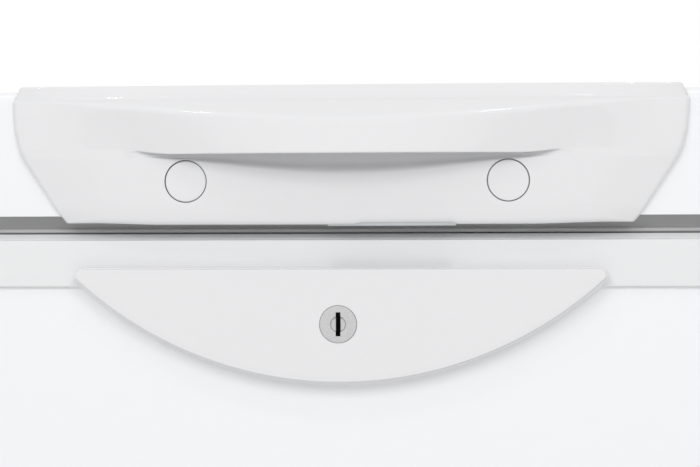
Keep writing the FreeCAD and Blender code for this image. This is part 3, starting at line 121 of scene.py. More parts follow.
# (inset, height, corner radius) rows carried round the cabinet's plan: a point is its corner's
# centre plus the radius times a direction that sweeps a quarter turn at each corner
def planSurface(rows, steps=9, wrapRows=True, capFirst=False, capLast=False):
    inset, height, radius = [values[:, None] for values in np.asarray(rows, float).T]
    quarter = np.repeat(np.arange(4), steps)
    turn = (quarter + np.tile(np.linspace(0, 1, steps), 4)) * math.pi / 2
    signX = np.array([1, -1, -1, 1])[quarter]
    signY = np.array([1, 1, -1, -1])[quarter]
    x = signX * (halfX - inset - radius) + radius * np.cos(turn)
    y = middleY + signY * (halfY - inset - radius) + radius * np.sin(turn)
    z = height + 0 * turn
    return surface(np.stack([x, y, z], -1) * mm, wrapRows, True, capFirst, capLast)


# (radius, height) pairs turned about an axis; swell is a factor on the radius at each angle
def revolved(profile, centre, axis, around=48, swell=None):
    axis = np.array(Vector(axis).normalized())
    helper = np.array([1.0, 0, 0]) if abs(axis[0]) < 0.9 else np.array([0, 0, 1.0])
    side = np.cross(axis, helper)
    side /= np.linalg.norm(side)
    up = np.cross(axis, side)
    turn = np.linspace(0, 2 * math.pi, around, endpoint=False)
    factor = 1 if swell is None else swell(turn)
    ring = np.cos(turn)[:, None] * side + np.sin(turn)[:, None] * up
    radius, height = np.asarray(profile, float).T
    scaled = radius[:, None] * factor * np.ones_like(turn)
    points = np.asarray(centre, float) + scaled[..., None] * ring + height[:, None, None] * axis
    return surface(points * mm, wrapColumns=True)


# unit circles square to each direction: the turn's cosine times a side vector plus its sine times up
def circlesAcross(ahead, helper, around):
    ahead = ahead / np.linalg.norm(ahead, axis=1, keepdims=True)
    side = np.cross(ahead, helper)
    side /= np.linalg.norm(side, axis=1, keepdims=True)
    up = np.cross(side, ahead)
    turn = np.linspace(0, 2 * math.pi, around, endpoint=False)
    return np.cos(turn)[None, :, None] * side[:, None] + np.sin(turn)[None, :, None] * up[:, None]


# a circle carried along a path, square to it
def tube(path, radius, helper=(0, 0, 1), around=12, closed=False):
    path = np.asarray(path, float)
    step = np.linalg.norm(np.diff(path, axis=0), axis=1)
    path = path[np.concatenate([[True], step > 1e-6])]      # points that coincide have no direction
    if closed:
        ahead = np.roll(path, -1, axis=0) - np.roll(path, 1, axis=0)
    else:
        ahead = np.gradient(path, axis=0)
    points = path[:, None] + radius * circlesAcross(ahead, np.asarray(helper, float), around)
    return surface(points * mm, closed, True, not closed, not closed)


# many straight round bars at once: two circles each, drawn in to a point at both ends
def rods(starts, ends, radius, around=10):
    starts = np.asarray(starts, float)
    ends = np.asarray(ends, float)
    ahead = ends - starts
    upright = np.abs(ahead[:, 2:]) > 0.9 * np.linalg.norm(ahead, axis=1, keepdims=True)
    ring = circlesAcross(ahead, np.where(upright, [[1.0, 0, 0]], [[0, 0, 1.0]]), around)
    rows = [starts[:, None] + 0 * ring, starts[:, None] + radius * ring,
            ends[:, None] + radius * ring, ends[:, None] + 0 * ring]
    points = np.stack(rows, 1) * mm
    one = gridFaces(4, around, wrapColumns=True)
    faces = one[None] + (np.arange(len(starts)) * 4 * around)[:, None, None]
    return points.reshape(-1, 3), faces.reshape(-1, 4).tolist()


# a block with all edges rounded: a rounded rectangle in x and z, drawn in by a quarter circle near
# both ends of y
def roundedBlock(low, high, radius, steps=4):
    low, high = np.asarray(low, float), np.asarray(high, float)
    rise = np.linspace(0, math.pi / 2, steps)
    inset = np.concatenate([[radius * 1.5], radius * (1 - np.sin(rise)), radius * (1 - np.cos(rise)),
                            [radius * 1.5]])
    depth = np.concatenate([[0], radius * (1 - np.cos(rise)),
                            (high[1] - low[1]) - radius * (1 - np.sin(rise)), [high[1] - low[1]]])
    quarter = np.repeat(np.arange(4), steps + 1)
    turn = (quarter + np.tile(np.linspace(0, 1, steps + 1), 4)) * math.pi / 2
    signX = np.array([1, -1, -1, 1])[quarter]
    signZ = np.array([1, 1, -1, -1])[quarter]
    middle = (low + high) / 2
    half = (high - low) / 2
    bend = np.maximum(radius - inset, 0.02)[:, None]
    x = middle[0] + signX * (half[0] - inset[:, None] - bend) + bend * np.cos(turn)
    z = middle[2] + signZ * (half[2] - inset[:, None] - bend) + bend * np.sin(turn)
    y = low[1] + depth[:, None] + 0 * turn
    return surface(np.stack([x, y, z], -1) * mm, False, True, True, True)


# joins parts into one mesh and puts it on its body, with its slot and finish
def addPiece(name, parts, body, material, replaces=(), sharp=softAngle):
    points = []
    faces = []
    offset = 0
    for corners, polygons in parts:
        points.append(corners)
        faces += [[offset + i for i in polygon] for polygon in polygons]
        offset += len(corners)
    mesh = bpy.data.meshes.new(name)
    mesh.from_pydata(np.concatenate(points).tolist(), [], faces)
    tidyMesh(mesh)
    mesh.shade_smooth()
    mesh.set_sharp_from_angle(angle=math.radians(sharp))
    return settle(bpy.data.objects.new(name, mesh), body, material, replaces)


# merges doubled points, then either joins flat triangles or turns all faces outwards
def tidyMesh(mesh, flatten=False):
    shape = bmesh.new()
    shape.from_mesh(mesh)
    bmesh.ops.remove_doubles(shape, verts=shape.verts, dist=2e-6)
    if flatten:
        bmesh.ops.dissolve_limit(shape, angle_limit=math.radians(0.6), verts=shape.verts, edges=shape.edges)
    else:
        bmesh.ops.recalc_face_normals(shape, faces=shape.faces)
    shape.to_mesh(mesh)
    shape.free()


# links a piece into the scene, gives it its finish, puts it on its body and hides the CAD nodes it replaces
def settle(piece, body, material, replaces):
    bpy.context.scene.collection.objects.link(piece)
    piece.data.materials.clear()
    piece.data.materials.append(material)
    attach(piece, body)
    if replaces:
        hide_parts(*replaces)
    return piece


# a merged copy of a CAD node with its hard edges broken by a small bevel
def softened(node, name, material, bevel=0.3, sharp=softAngle):
    source = frame["nodes"][node]
    mesh = source.data.copy()
    mesh.name = name
    if "custom_normal" in mesh.attributes:
        mesh.attributes.remove(mesh.attributes["custom_normal"])
    tidyMesh(mesh, flatten=True)
    mesh.shade_smooth()
    mesh.set_sharp_from_angle(angle=math.radians(sharp))
    piece = bpy.data.objects.new(name, mesh)
    if bevel:
        edge = piece.modifiers.new("softEdge", "BEVEL")
        edge.width = bevel * mm
        edge.segments = 2
        edge.limit_method = "ANGLE"
        edge.angle_limit = math.radians(sharp)
        edge.harden_normals = True
    return settle(piece, source["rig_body"], material, (node,))


# cuts forms out of a piece one after the other, and keeps the result as its mesh
def carve(piece, forms):
    for corners, polygons in forms:
        mesh = bpy.data.meshes.new("carver")
        mesh.from_pydata(corners.tolist(), [], polygons)
        tidyMesh(mesh)
        carver = bpy.data.objects.new("carver", mesh)
        bpy.context.scene.collection.objects.link(carver)
        cut = piece.modifiers.new("carve", "BOOLEAN")
        cut.operation = "DIFFERENCE"
        cut.solver = "EXACT"
        cut.object = carver
        bpy.context.view_layer.update()
        shaped = piece.evaluated_get(bpy.context.evaluated_depsgraph_get())
        result = bpy.data.meshes.new_from_object(shaped)
        piece.modifiers.remove(cut)
        piece.data = result
        bpy.data.objects.remove(carver)
    result.shade_smooth()
    result.set_sharp_from_angle(angle=math.radians(softAngle))


# one finish: a broad noise varies the colour, a fine one the roughness and the bump; dimples, where
# there are any, take the bump over
def finish(name, values):
    material = bpy.data.materials.new(name)
    material.use_nodes = True
    nodes = material.node_tree.nodes
    links = material.node_tree.links
    shader = nodes["Principled BSDF"]
    place = nodes.new("ShaderNodeTexCoord")
    stretch = nodes.new("ShaderNodeMapping")
    stretch.inputs["Scale"].default_value = values.get("stretch", (1, 1, 1))
    links.new(place.outputs["Object"], stretch.inputs["Vector"])

    broad = nodes.new("ShaderNodeTexNoise")
    broad.inputs["Scale"].default_value = values.get("broad", 6)
    broad.inputs["Detail"].default_value = 4
    links.new(stretch.outputs["Vector"], broad.inputs["Vector"])
    tint = nodes.new("ShaderNodeMix")
    tint.data_type = "RGBA"
    colour = np.array(values["colour"])
    spread = values.get("spread", 0.02)
    tint.inputs["A"].default_value = (*np.clip(colour * (1 - spread), 0, 1), 1)
    tint.inputs["B"].default_value = (*np.clip(colour * (1 + spread), 0, 1), 1)
    links.new(broad.outputs["Fac"], tint.inputs["Factor"])
    links.new(tint.outputs["Result"], shader.inputs["Base Color"])

    fine = nodes.new("ShaderNodeTexNoise")
    fine.inputs["Scale"].default_value = values.get("grain", 900)
    fine.inputs["Detail"].default_value = 3
    links.new(stretch.outputs["Vector"], fine.inputs["Vector"])
    dull = nodes.new("ShaderNodeMapRange")
    rough = values["rough"]
    dull.inputs["To Min"].default_value = max(rough - values.get("roughSpread", 0.05), 0.02)
    dull.inputs["To Max"].default_value = min(rough + values.get("roughSpread", 0.05), 1)
    links.new(fine.outputs["Fac"], dull.inputs["Value"])
    links.new(dull.outputs["Result"], shader.inputs["Roughness"])

    relief = fine
    if values.get("dimples"):
        relief = nodes.new("ShaderNodeTexVoronoi")
        relief.feature = "SMOOTH_F1"
        relief.inputs["Scale"].default_value = values["dimples"]
        links.new(stretch.outputs["Vector"], relief.inputs["Vector"])
    bump = nodes.new("ShaderNodeBump")
    bump.inputs["Strength"].default_value = values.get("bump", 0.1)
    bump.inputs["Distance"].default_value = values.get("depth", 0.0001)
    links.new(relief.outputs[0], bump.inputs["Height"])
    links.new(bump.outputs["Normal"], shader.inputs["Normal"])

    shader.inputs["Metallic"].default_value = values.get("metallic", 0)
    shader.inputs["Specular IOR Level"].default_value = values.get("specular", 0.5)
    shader.inputs["Coat Weight"].default_value = values.get("coat", 0)
    shader.inputs["Coat Roughness"].default_value = values.get("coatRough", 0.12)
    return material


finishes = {
    "enamel": {"colour": (0.862, 0.867, 0.882), "rough": 0.32, "broad": 5, "spread": 0.006, "grain": 420,
               "bump": 0.05, "depth": 0.00015, "coat": 0.25},
    "handlePlastic": {"colour": (0.76, 0.76, 0.77), "rough": 0.42, "broad": 9, "spread": 0.008, "grain": 1500,
                      "bump": 0.04, "depth": 0.00006, "specular": 0.35, "coat": 0.7, "coatRough": 0.06},
    "collarPlastic": {"colour": (0.775, 0.78, 0.785), "rough": 0.38, "broad": 7, "spread": 0.008,
                      "grain": 1500, "bump": 0.04, "depth": 0.00006},
    "innerPlastic": {"colour": (0.83, 0.83, 0.83), "rough": 0.42, "broad": 8, "spread": 0.012, "grain": 1200,
                     "bump": 0.06, "depth": 0.00008},
    "greyPlastic": {"colour": (0.30, 0.305, 0.31), "rough": 0.55, "broad": 12, "spread": 0.03, "grain": 1800,
                    "bump": 0.25, "depth": 0.0001},
    "footPlastic": {"colour": (0.035, 0.035, 0.036), "rough": 0.6, "broad": 14, "spread": 0.12, "grain": 1600,
                    "bump": 0.3, "depth": 0.0001},
    "sealRubber": {"colour": (0.46, 0.46, 0.465), "rough": 0.62, "broad": 30, "spread": 0.04, "grain": 1400,
                   "bump": 0.15, "depth": 0.0001, "specular": 0.3},
    "embossedLiner": {"colour": (0.80, 0.815, 0.83), "rough": 0.34, "broad": 10, "spread": 0.015,
                      "grain": 600, "dimples": 260, "bump": 0.35, "depth": 0.0004, "metallic": 0.35},
    "zincSheet": {"colour": (0.58, 0.60, 0.61), "rough": 0.38, "broad": 55, "spread": 0.09, "grain": 500,
                  "roughSpread": 0.12, "bump": 0.08, "metallic": 0.9},
    "fastenerSteel": {"colour": (0.52, 0.52, 0.54), "rough": 0.34, "broad": 160, "spread": 0.08,
                      "grain": 1600, "bump": 0.1, "metallic": 0.95},
    "lockMetal": {"colour": (0.63, 0.63, 0.635), "rough": 0.46, "broad": 900, "spread": 0.16, "grain": 2600,
                  "roughSpread": 0.14, "bump": 0.3, "depth": 0.00006, "metallic": 0.75},
    "blackPaint": {"colour": (0.02, 0.02, 0.021), "rough": 0.4, "broad": 20, "spread": 0.15, "grain": 700,
                   "bump": 0.2, "depth": 0.0002},
    "copperTube": {"colour": (0.62, 0.29, 0.17), "rough": 0.36, "broad": 70, "spread": 0.14, "grain": 900,
                   "bump": 0.08, "metallic": 0.95},
    "aluminiumTube": {"colour": (0.68, 0.69, 0.70), "rough": 0.4, "broad": 60, "spread": 0.05, "grain": 900,
                      "bump": 0.08, "metallic": 0.9},
    "insulatingFoam": {"colour": (0.72, 0.55, 0.28), "rough": 0.85, "broad": 40, "spread": 0.12, "grain": 700,
                       "bump": 0.6, "depth": 0.0006},
    "coatedWire": {"colour": (0.84, 0.845, 0.86), "rough": 0.28, "broad": 30, "spread": 0.012, "grain": 900,
                   "bump": 0.08, "coat": 0.3},
    "redLens": {"colour": (0.42, 0.03, 0.02), "rough": 0.16, "broad": 90, "spread": 0.1, "grain": 900,
                "bump": 0.03, "coat": 0.5},
    "amberLens": {"colour": (0.55, 0.25, 0.02), "rough": 0.16, "broad": 90, "spread": 0.1, "grain": 900,
                  "bump": 0.03, "coat": 0.5},
    "greenLens": {"colour": (0.03, 0.30, 0.07), "rough": 0.16, "broad": 90, "spread": 0.1, "grain": 900,
                  "bump": 0.03, "coat": 0.5},
    # keyShade is painted shade: near-black, matt and without specular, for the inside of the key slot
    "keyShade": {"colour": (0.004, 0.004, 0.004), "rough": 0.95, "broad": 60, "spread": 0.05, "grain": 900,
                 "bump": 0.05, "specular": 0.0},
    "dialInk": {"colour": (0.22, 0.23, 0.25), "rough": 0.5, "broad": 60, "spread": 0.05, "grain": 900,
                "bump": 0.05},
}
made = {name: finish(name, values) for name, values in finishes.items()}
print("finishes made:", len(made))

# every CAD node gets its slot's finish first; the pieces below replace the ones that show
slotFinish = {"white_enamel": "enamel", "zinc_steel": "zincSheet", "fastener_steel": "fastenerSteel",
              "liner_white": "embossedLiner", "light_plastic": "collarPlastic",
              "handle_plastic": "handlePlastic", "inner_plastic": "innerPlastic",
              "grey_plastic": "greyPlastic", "seal": "sealRubber", "foot_plastic": "footPlastic",
              "foam": "insulatingFoam", "lock_metal": "lockMetal", "black_paint": "blackPaint",
              "copper": "copperTube", "tube_aluminium": "aluminiumTube", "lens": "redLens",
              "wire_white": "coatedWire"}
for part in frame["record"]["subparts"]:
    node = frame["nodes"][part["node"]]
    node.data.materials.clear()
    node.data.materials.append(made[slotFinish[part["material_slot"]]])


# the camera fitted to the photo: place in metres, yaw in degrees, roll in radians, lens in mm
camera = {"place": (0.0764, -1.269, 0.7799), "yaw": 4.318, "roll": -0.0027, "lens": 105.8}
cameraData = bpy.data.cameras.new("photoCamera")
cameraData.lens = camera["lens"]
cameraData.sensor_width = 36
cameraData.clip_end = 60
viewer = bpy.data.objects.new("photoCamera", cameraData)
viewer.matrix_world = (Matrix.Translation(camera["place"])
                       @ Matrix.Rotation(math.radians(camera["yaw"]), 4, "Z")
                       @ Matrix.Rotation(math.pi / 2, 4, "X") @ Matrix.Rotation(camera["roll"], 4, "Z"))
bpy.context.scene.collection.objects.link(viewer)
bpy.context.scene.camera = viewer

# strengths in watts, places and sizes in metres; ambient is the world's light on the object
light = {"ambient": 0.62, "key": 24.5, "keyPlaces": ((-1.2, -3.1, 2.45), (1.2, -3.1, 2.45)), "keySize": 1.3,
         "glint": 3.0, "glintPlaces": ((-0.99, -1.65, 3.35), (0.53, -1.74, 3.42)), "glintSize": 0.16,
         "aim": (0, -0.3, 0.8), "top": 3.0, "topPlace": (0.0, 0.2, 3.2), "topSize": 3.0,
         "topAim": (0, 0, 0.4)}


# a square lamp at a place, turned to the point it aims at
def softLamp(name, place, power, size, aim):
    lamp = bpy.data.lights.new(name, "AREA")
    lamp.shape = "SQUARE"
    lamp.size = size
    lamp.energy = power
    holder = bpy.data.objects.new(name, lamp)
    holder.location = place
    holder.rotation_euler = (Vector(aim) - Vector(place)).to_track_quat("-Z", "Y").to_euler()
    bpy.context.scene.collection.objects.link(holder)
    return holder


# the broad lamps light but don't mirror; the two small ones give the glints
for kind in ("key", "glint"):
    for number, place in enumerate(light[kind + "Places"]):
        name = kind + "Lamp" + str(number + 1)
        lamp = softLamp(name, place, light[kind], light[kind + "Size"], light["aim"])
        lamp.visible_glossy = kind == "glint"
softLamp("topLamp", light["topPlace"], light["top"], light["topSize"], light["topAim"])

# the world shines white into the camera, on metal and through glass, and more weakly on the object
world = bpy.data.worlds.new("studio")
bpy.context.scene.world = world
world.use_nodes = True
sky = world.node_tree
seen = sky.nodes.new("ShaderNodeLightPath")
shiny = sky.nodes.new("ShaderNodeMath")
shiny.operation = "MAXIMUM"
clear = sky.nodes.new("ShaderNodeMath")
clear.operation = "MAXIMUM"
level = sky.nodes.new("ShaderNodeMapRange")
level.inputs["To Min"].default_value = light["ambient"]
level.inputs["To Max"].default_value = 1
sky.links.new(seen.outputs["Is Camera Ray"], shiny.inputs[0])
sky.links.new(seen.outputs["Is Glossy Ray"], shiny.inputs[1])
sky.links.new(shiny.outputs[0], clear.inputs[0])
sky.links.new(seen.outputs["Is Transmission Ray"], clear.inputs[1])
sky.links.new(clear.outputs[0], level.inputs["Value"])
background = sky.nodes["Background"]
background.inputs["Color"].default_value = (1, 1, 1, 1)
sky.links.new(level.outputs["Result"], background.inputs["Strength"])

floorMesh = bpy.data.meshes.new("studioFloor")
floorMesh.from_pydata([(-9, -9, 0), (9, -9, 0), (9, 9, 0), (-9, 9, 0)], [], [(0, 1, 2, 3)])
floor = bpy.data.objects.new("studioFloor", floorMesh)
bpy.context.scene.collection.objects.link(floor)
floorMesh.materials.append(finish("paleFloor", {"colour": (0.92, 0.92, 0.92), "rough": 0.8, "spread": 0.006,
                                                "broad": 2, "grain": 60, "bump": 0.02}))
bpy.context.scene.view_settings.view_transform = "Standard"
print("camera, floor and light in place")


# handle on the lid's front, in millimetres: halves are measured from its middle, reaches from the front
handle = {"halfWidth": 165.1, "reach": 34.0, "ridgeReach": 30.0, "face": 13.5, "foot": 12.0, "band": 9.0,
          "creaseDrop": 6.7, "ridgeDrop": 9.9, "gripRise": 35.0, "lidFace": 3.0, "sweepFrom": 96.0,
          "sweep": 6.5, "recessHalf": 103.0, "lipHalf": 110.0, "ridgeHalf": 150.0, "recessHeight": 9.9,
          "recessDepth": 8.0, "pocketRise": 16.0, "gripWall": 3.0, "tail": 4.5, "endRadius": 3.0,
          "plainHalf": 118.0, "lipDrop": 2.5, "lipLevel": 0.039, "lipEnd": 103.0, "lipRun": 22.0,
          "footDrop": 1.45, "footRun": 128.0, "footEase": 40.0, "footTuck": 1.4, "windowFrom": 4.5,
          "windowTo": 53.0, "windowEase": 1.5, "windowRise": 0.95, "strikeGap": 0.4, "strikeRoof": 2.6,
          "hookGap": 0.6, "hookFront": 8.3, "hookBack": 2.7, "hookRise": 11.6}
# the front outline: half the width at each height under the top edge
outlineDrop = [0, 0.8, 4.4, 5.2, 6.2, 7.6, 9.0, 21.5, 27.3, 31.2, 36.0, 40.9, 45.8, 50.6, 55.5, 61.6, 64.6,
               66.2, 66.9]
outlineHalf = [160.6, 161.6, 162.2, 162.6, 164.2, 165.0, 165.1, 163.9, 162.7, 161.5, 159.3, 156.1, 152.9,
               149.8, 146.6, 142.7, 140.6, 139.0, 137.8]


# 1 in the middle, falling as a cosine's power to 0 at half
def swellAt(x, half, power):
    wave = np.cos(np.clip(np.abs(x) / half, 0, 1) * math.pi / 2)
    return np.maximum(wave, 0) ** power


# for each place x across the handle, a closed outline in (p, z): down over the band, the sloping
# shelf and the bowed grip, up into the finger pocket, and down the plain face to the foot
def handleSurface():
    size = handle
    low, high = lowHigh("lid_handle")
    top, bottom = high[2], low[2]
    grip = bottom + size["gripRise"]
    bend = np.linspace(0, math.pi / 2, 7)[1:]
    inner = size["halfWidth"] - size["endRadius"]
    across = np.concatenate([np.linspace(0, inner, 96), inner + size["endRadius"] * np.sin(bend),
                             [size["halfWidth"]]])
    x = np.concatenate([-across[:0:-1], across])
    one = np.ones_like(x)

    # the plain face sweeps back towards the ends, and the grip bows out from it in the middle
    beyond = np.maximum(np.abs(x) - size["sweepFrom"], 0) / (size["halfWidth"] - size["sweepFrom"])
    face = size["face"] - size["sweep"] * beyond ** 1.35
    lip = face + (size["reach"] - size["face"]) * swellAt(x, size["lipHalf"], 1.3)
    rise = 0.06 + 0.94 * swellAt(x, size["ridgeHalf"], 1.3)
    crease = face - 2.0
    ridge = crease + (size["ridgeReach"] - size["face"] + 2.0) * rise
    ridgeZ = top - size["creaseDrop"] - size["ridgeDrop"] * rise
    band = size["band"] - 0.4 * size["sweep"] * (x / size["halfWidth"]) ** 2

    # the finger recess: opened is 1 in the middle and 0 where it has run out into a soft slope
    opened = swellAt(x, size["recessHalf"], 0.75)
    closed = (1 - opened) ** 2
    back = face - size["recessDepth"] * opened
    share = np.clip((size["lipEnd"] - np.abs(x)) / size["lipRun"], 0, 1)
    lipZ = grip + size["lipLevel"] * (size["reach"] - lip) - size["lipDrop"] * (1 - (1 - share) ** 2)
    tail = size["tail"] * (1 - opened) ** 3
    bulge = (lip - face) * closed
    lower = lipZ - (size["recessHeight"] - size["lipDrop"]) * swellAt(x, size["recessHalf"], 1.4) - tail
    inside = np.maximum(lip - size["gripWall"] * opened, back) - 0.1 * bulge

    # the foot hangs lower in the middle, but for the window over the lock's hook
    foot = face - size["face"] + size["foot"] - size["footTuck"]
    share = np.clip((size["footRun"] - np.abs(x)) / size["footEase"], 0, 1)
    window = (np.clip((x - size["windowFrom"]) / size["windowEase"], 0, 1)
              * np.clip((size["windowTo"] - x) / size["windowEase"], 0, 1))
    footZ = bottom - (size["footDrop"] - size["windowRise"] * window) * share ** 2 * (3 - 2 * share)

    def along(first, second, share):
        return (first[0] + (second[0] - first[0]) * share, first[1] + (second[1] - first[1]) * share)

    ridgePoint = (ridge, ridgeZ)
    lipPoint = (lip, lipZ)
    edge = (face, lower)
    tucked = (foot + size["footTuck"], footZ)
    pocketRoof = (back + (inside - 2 - back) * opened * 0.85 + 0.6 * bulge,
                  lipZ + (ridgeZ - 3.4 - lipZ) * opened * 0.9 - 0.4 * tail)
    pocketBack = (back + 0.35 * bulge, lipZ + size["pocketRise"] * opened * 0.8 - 0.6 * tail)
    pocketFloor = (back + 0.6 * (face - back) + 0.12 * bulge,
                   lipZ + (lower + tail - lipZ) * 0.55 - 0.8 * tail)
    # each corner with the length that its rounding cuts off
    pairs = [((size["lidFace"] * one, top * one), 0), ((band, top * one), 1.0),
             ((crease, (top - size["creaseDrop"]) * one), 1.2), (ridgePoint, 2.6),
             (along(ridgePoint, lipPoint, 0.5), 4), (lipPoint, 2.6 + 5 * closed),
             ((inside, lipZ + 0.6 * opened - 0.2 * tail), 0.8 + 2 * closed),
             (pocketRoof, 2), (pocketBack, 2), (pocketFloor, 1.6), (edge, 2.4),
             (along(edge, tucked, 0.22), 2), (along(edge, tucked, 0.45), 2), (along(edge, tucked, 0.76), 2),
             ((foot, footZ), 5), ((size["lidFace"] * one, bottom * one), 0)]
    outline = np.stack([np.stack(corner, -1) for corner, cut in pairs], 1)
    outline = rounded(outline, np.stack([cut * one for corner, cut in pairs], 1), 6)

    # the ends are turned in by a quarter circle, and the sides follow the front outline
    p, z = outline[..., 0], outline[..., 1]
    turnedIn = np.clip((np.abs(x) - inner) / size["endRadius"], 0, 1)
    p = p - size["endRadius"] * (1 - np.sqrt(1 - turnedIn ** 2))[:, None]
    p = np.maximum(p, size["lidFace"])
    p[[0, -1]] = size["lidFace"]
    half = np.interp(top - z, outlineDrop, outlineHalf)
    reach = np.abs(x)[:, None]
    plain = size["plainHalf"]
    wide = plain + (reach - plain) * (half - plain) / (size["halfWidth"] - plain)
    side = np.sign(x)[:, None] * np.where(reach > plain, wide, reach)
    return surface(np.stack([side, frontY - p, z], -1) * mm, False, True)


capLow, capHigh = lowHigh("handle_caps")
capZ = (capLow[2] + capHigh[2]) / 2
capRadius = (capHigh[2] - capLow[2]) / 2
capSpacing = (capHigh[0] - capLow[0]) - 2 * capRadius
capSeat = frontY - capHigh[1]
capFace = frontY - capLow[1]
cap = {"ring": 0.45, "rim": 0.7, "crown": 0.12}
capPlaces = [(side * capSpacing / 2, frontY, capZ) for side in (-1, 1)]

handlePiece = addPiece("lidHandle", [handleSurface()], "lid", made["handlePlastic"],
                       ("lid_handle",))
strikeLow, strikeHigh = lowHigh("strike_plate")
handleBottom = lowHigh("lid_handle")[0][2]
cutFrom = handleBottom - 4      # cuts start well under the handle, so that they go right through
wellProfile = [(0, capSeat - 0.05), (capRadius + cap["ring"], capSeat - 0.05), (capRadius + cap["ring"], 40),
               (0, 40)]
wells = [revolved(wellProfile, place, towardsViewer, 64) for place in capPlaces]
notch = roundedBlock((strikeLow[0] - handle["strikeGap"], strikeLow[1] - handle["strikeGap"], cutFrom),
                     (strikeHigh[0] + handle["strikeGap"], frontY + 4,
                      handleBottom + handle["strikeRoof"]), 0.3)
hookRoom = roundedBlock((strikeLow[0] + handle["hookGap"], frontY - handle["hookFront"], cutFrom),
                        (strikeHigh[0] - handle["hookGap"], frontY - handle["hookBack"],
                         handleBottom + handle["hookRise"]), 0.3)
carve(handlePiece, wells + [notch, hookRoom])

crownFace = capFace + cap["crown"]
profile = rounded([(0, capSeat), (capRadius, capSeat), (capRadius, capFace), (capRadius * 0.5, crownFace),
                   (0, crownFace)], [0, 0.3, cap["rim"], 2.5, 0], 5)
addPiece("handleCaps", [revolved(profile, place, towardsViewer, 64) for place in capPlaces], "lid",
         made["handlePlastic"], ("handle_caps",))
print("handle and caps made")


# lid, seal and collar
lid = {"topRadius": 5.5, "corner": 15.0, "sheet": 0.8, "hem": 7.0}
lidLow, lidHigh = lowHigh("lid_skin")
proud = lidHigh[0] - halfX
outerRows = rounded([(-proud + lid["sheet"], lidLow[2] + lid["hem"]), (-proud + lid["sheet"], lidLow[2]),
                     (-proud, lidLow[2]), (-proud, lidHigh[2]), (lid["corner"], lidHigh[2])],
                    [0, 0.1, 0.5, lid["topRadius"], 0], 9)
radius = np.maximum(lid["corner"] - proud - outerRows[:, 0] + 0.5, 0.5)
lidRows = np.column_stack([outerRows, radius])
addPiece("lidPanel", [planSurface(lidRows, 12, False, False, True)], "lid", made["enamel"],
         ("lid_skin",))

sealLow, sealHigh = lowHigh("lid_gasket")
sealInset = halfX - sealHigh[0]
sealTop, sealBottom = sealHigh[2], sealLow[2]
span = sealTop - sealBottom
seal = {"bead": 0.24, "pinch": 3.5, "pinchHeight": 0.34, "width": 20.0, "corner": 9.0}
sealProfile = rounded([(sealInset + seal["pinch"], sealTop),
                       (sealInset + seal["pinch"], sealBottom + span * seal["pinchHeight"]),
                       (sealInset, sealBottom + span * seal["bead"]), (sealInset, sealBottom + 0.5),
                       (sealInset + 1.6, sealBottom), (sealInset + seal["width"], sealBottom),
                       (sealInset + seal["width"], sealTop)], [0, 1.0, 0.8, 0.5, 0.5, 1, 0], 5)
sealRows = np.column_stack([sealProfile, np.full(len(sealProfile), seal["corner"])])
addPiece("lidSeal", [planSurface(sealRows, 9)], "lid", made["sealRubber"], ("lid_gasket",))

collarLow, collarHigh = lowHigh("top_collar")
collar = {"sheet": 2.3, "land": 44.0, "ledgeDrop": 10.0, "lip": 64.0, "edge": 0.35, "hem": 0.9, "guard": 12.0,
          "slopeRun": 4.7, "slopeDrop": 3.2, "skirtInside": 0.15, "guardSheet": 1.9,
          "cornerRadii": (14.5, 11.9, 14, 38, 20)}
out = collarHigh[0] - halfX
topZ, hemZ = collarHigh[2], collarLow[2]
ledge = topZ - collar["ledgeDrop"]
under = ledge - collar["sheet"]
topInside = topZ - collar["sheet"]
landInside = collar["land"] - collar["sheet"]
guardInside = collar["lip"] - collar["guardSheet"]
collarProfile = [(-out, hemZ), (-out, topZ - collar["slopeDrop"]), (0.1, topZ - collar["slopeDrop"] * 0.8),
                 (collar["slopeRun"], topZ), (collar["land"], topZ), (collar["land"], ledge),
                 (collar["lip"], ledge), (collar["lip"], under - collar["guard"]),
                 (guardInside, under - collar["guard"]), (guardInside, under), (landInside, under),
                 (landInside, topInside), (collar["skirtInside"], topInside), (collar["skirtInside"], hemZ)]
collarCuts = [collar["hem"], collar["edge"], 0.5, 0.6, 1.5, 1.0, 1.2, 0.3, 0.3, 0.3, 0.5, 0.5, 0.5, 0.2]
collarProfile = rounded(collarProfile, collarCuts, 7)
inner = np.clip(collarProfile[:, 0], -out, collar["lip"])
cornerRadius = np.interp(inner, [-out, collar["skirtInside"], 3, collar["land"], collar["lip"]],
                         collar["cornerRadii"])
addPiece("collarFrame", [planSurface(np.column_stack([collarProfile, cornerRadius]), 12)], "cabinet",
         made["collarPlastic"], ("top_collar",))
print("lid, seal and collar made")


# half-moon lock cover and the key lock
moonLow, moonHigh = lowHigh("escutcheon")
plugLow, plugHigh = lowHigh("lock_plug")
lockX = (plugLow[0] + plugHigh[0]) / 2
lockZ = (plugLow[2] + plugHigh[2]) / 2
moon = {"halfWidth": 130.1, "corner": 5.0, "end": 6.2, "side": 6.8, "foot": 2.4, "edge": 7.6,
        "bevel": 2.8, "topBevel": 1.1, "bore": 9.2, "bottomEase": 0.45, "cornerEase": 1.3, "endRise": 1.1,
        "slotBack": 3.0, "slotReach": 54.5, "slotFront": 7.0, "slotRear": 3.4, "hollowBack": 15.0,
        "hollowReach": 63.0, "hollowFront": 7.6, "hollowRoof": 2.2}
moonFace = frontY - moonLow[1]
moonTop, moonBottom = moonHigh[2], moonLow[2]


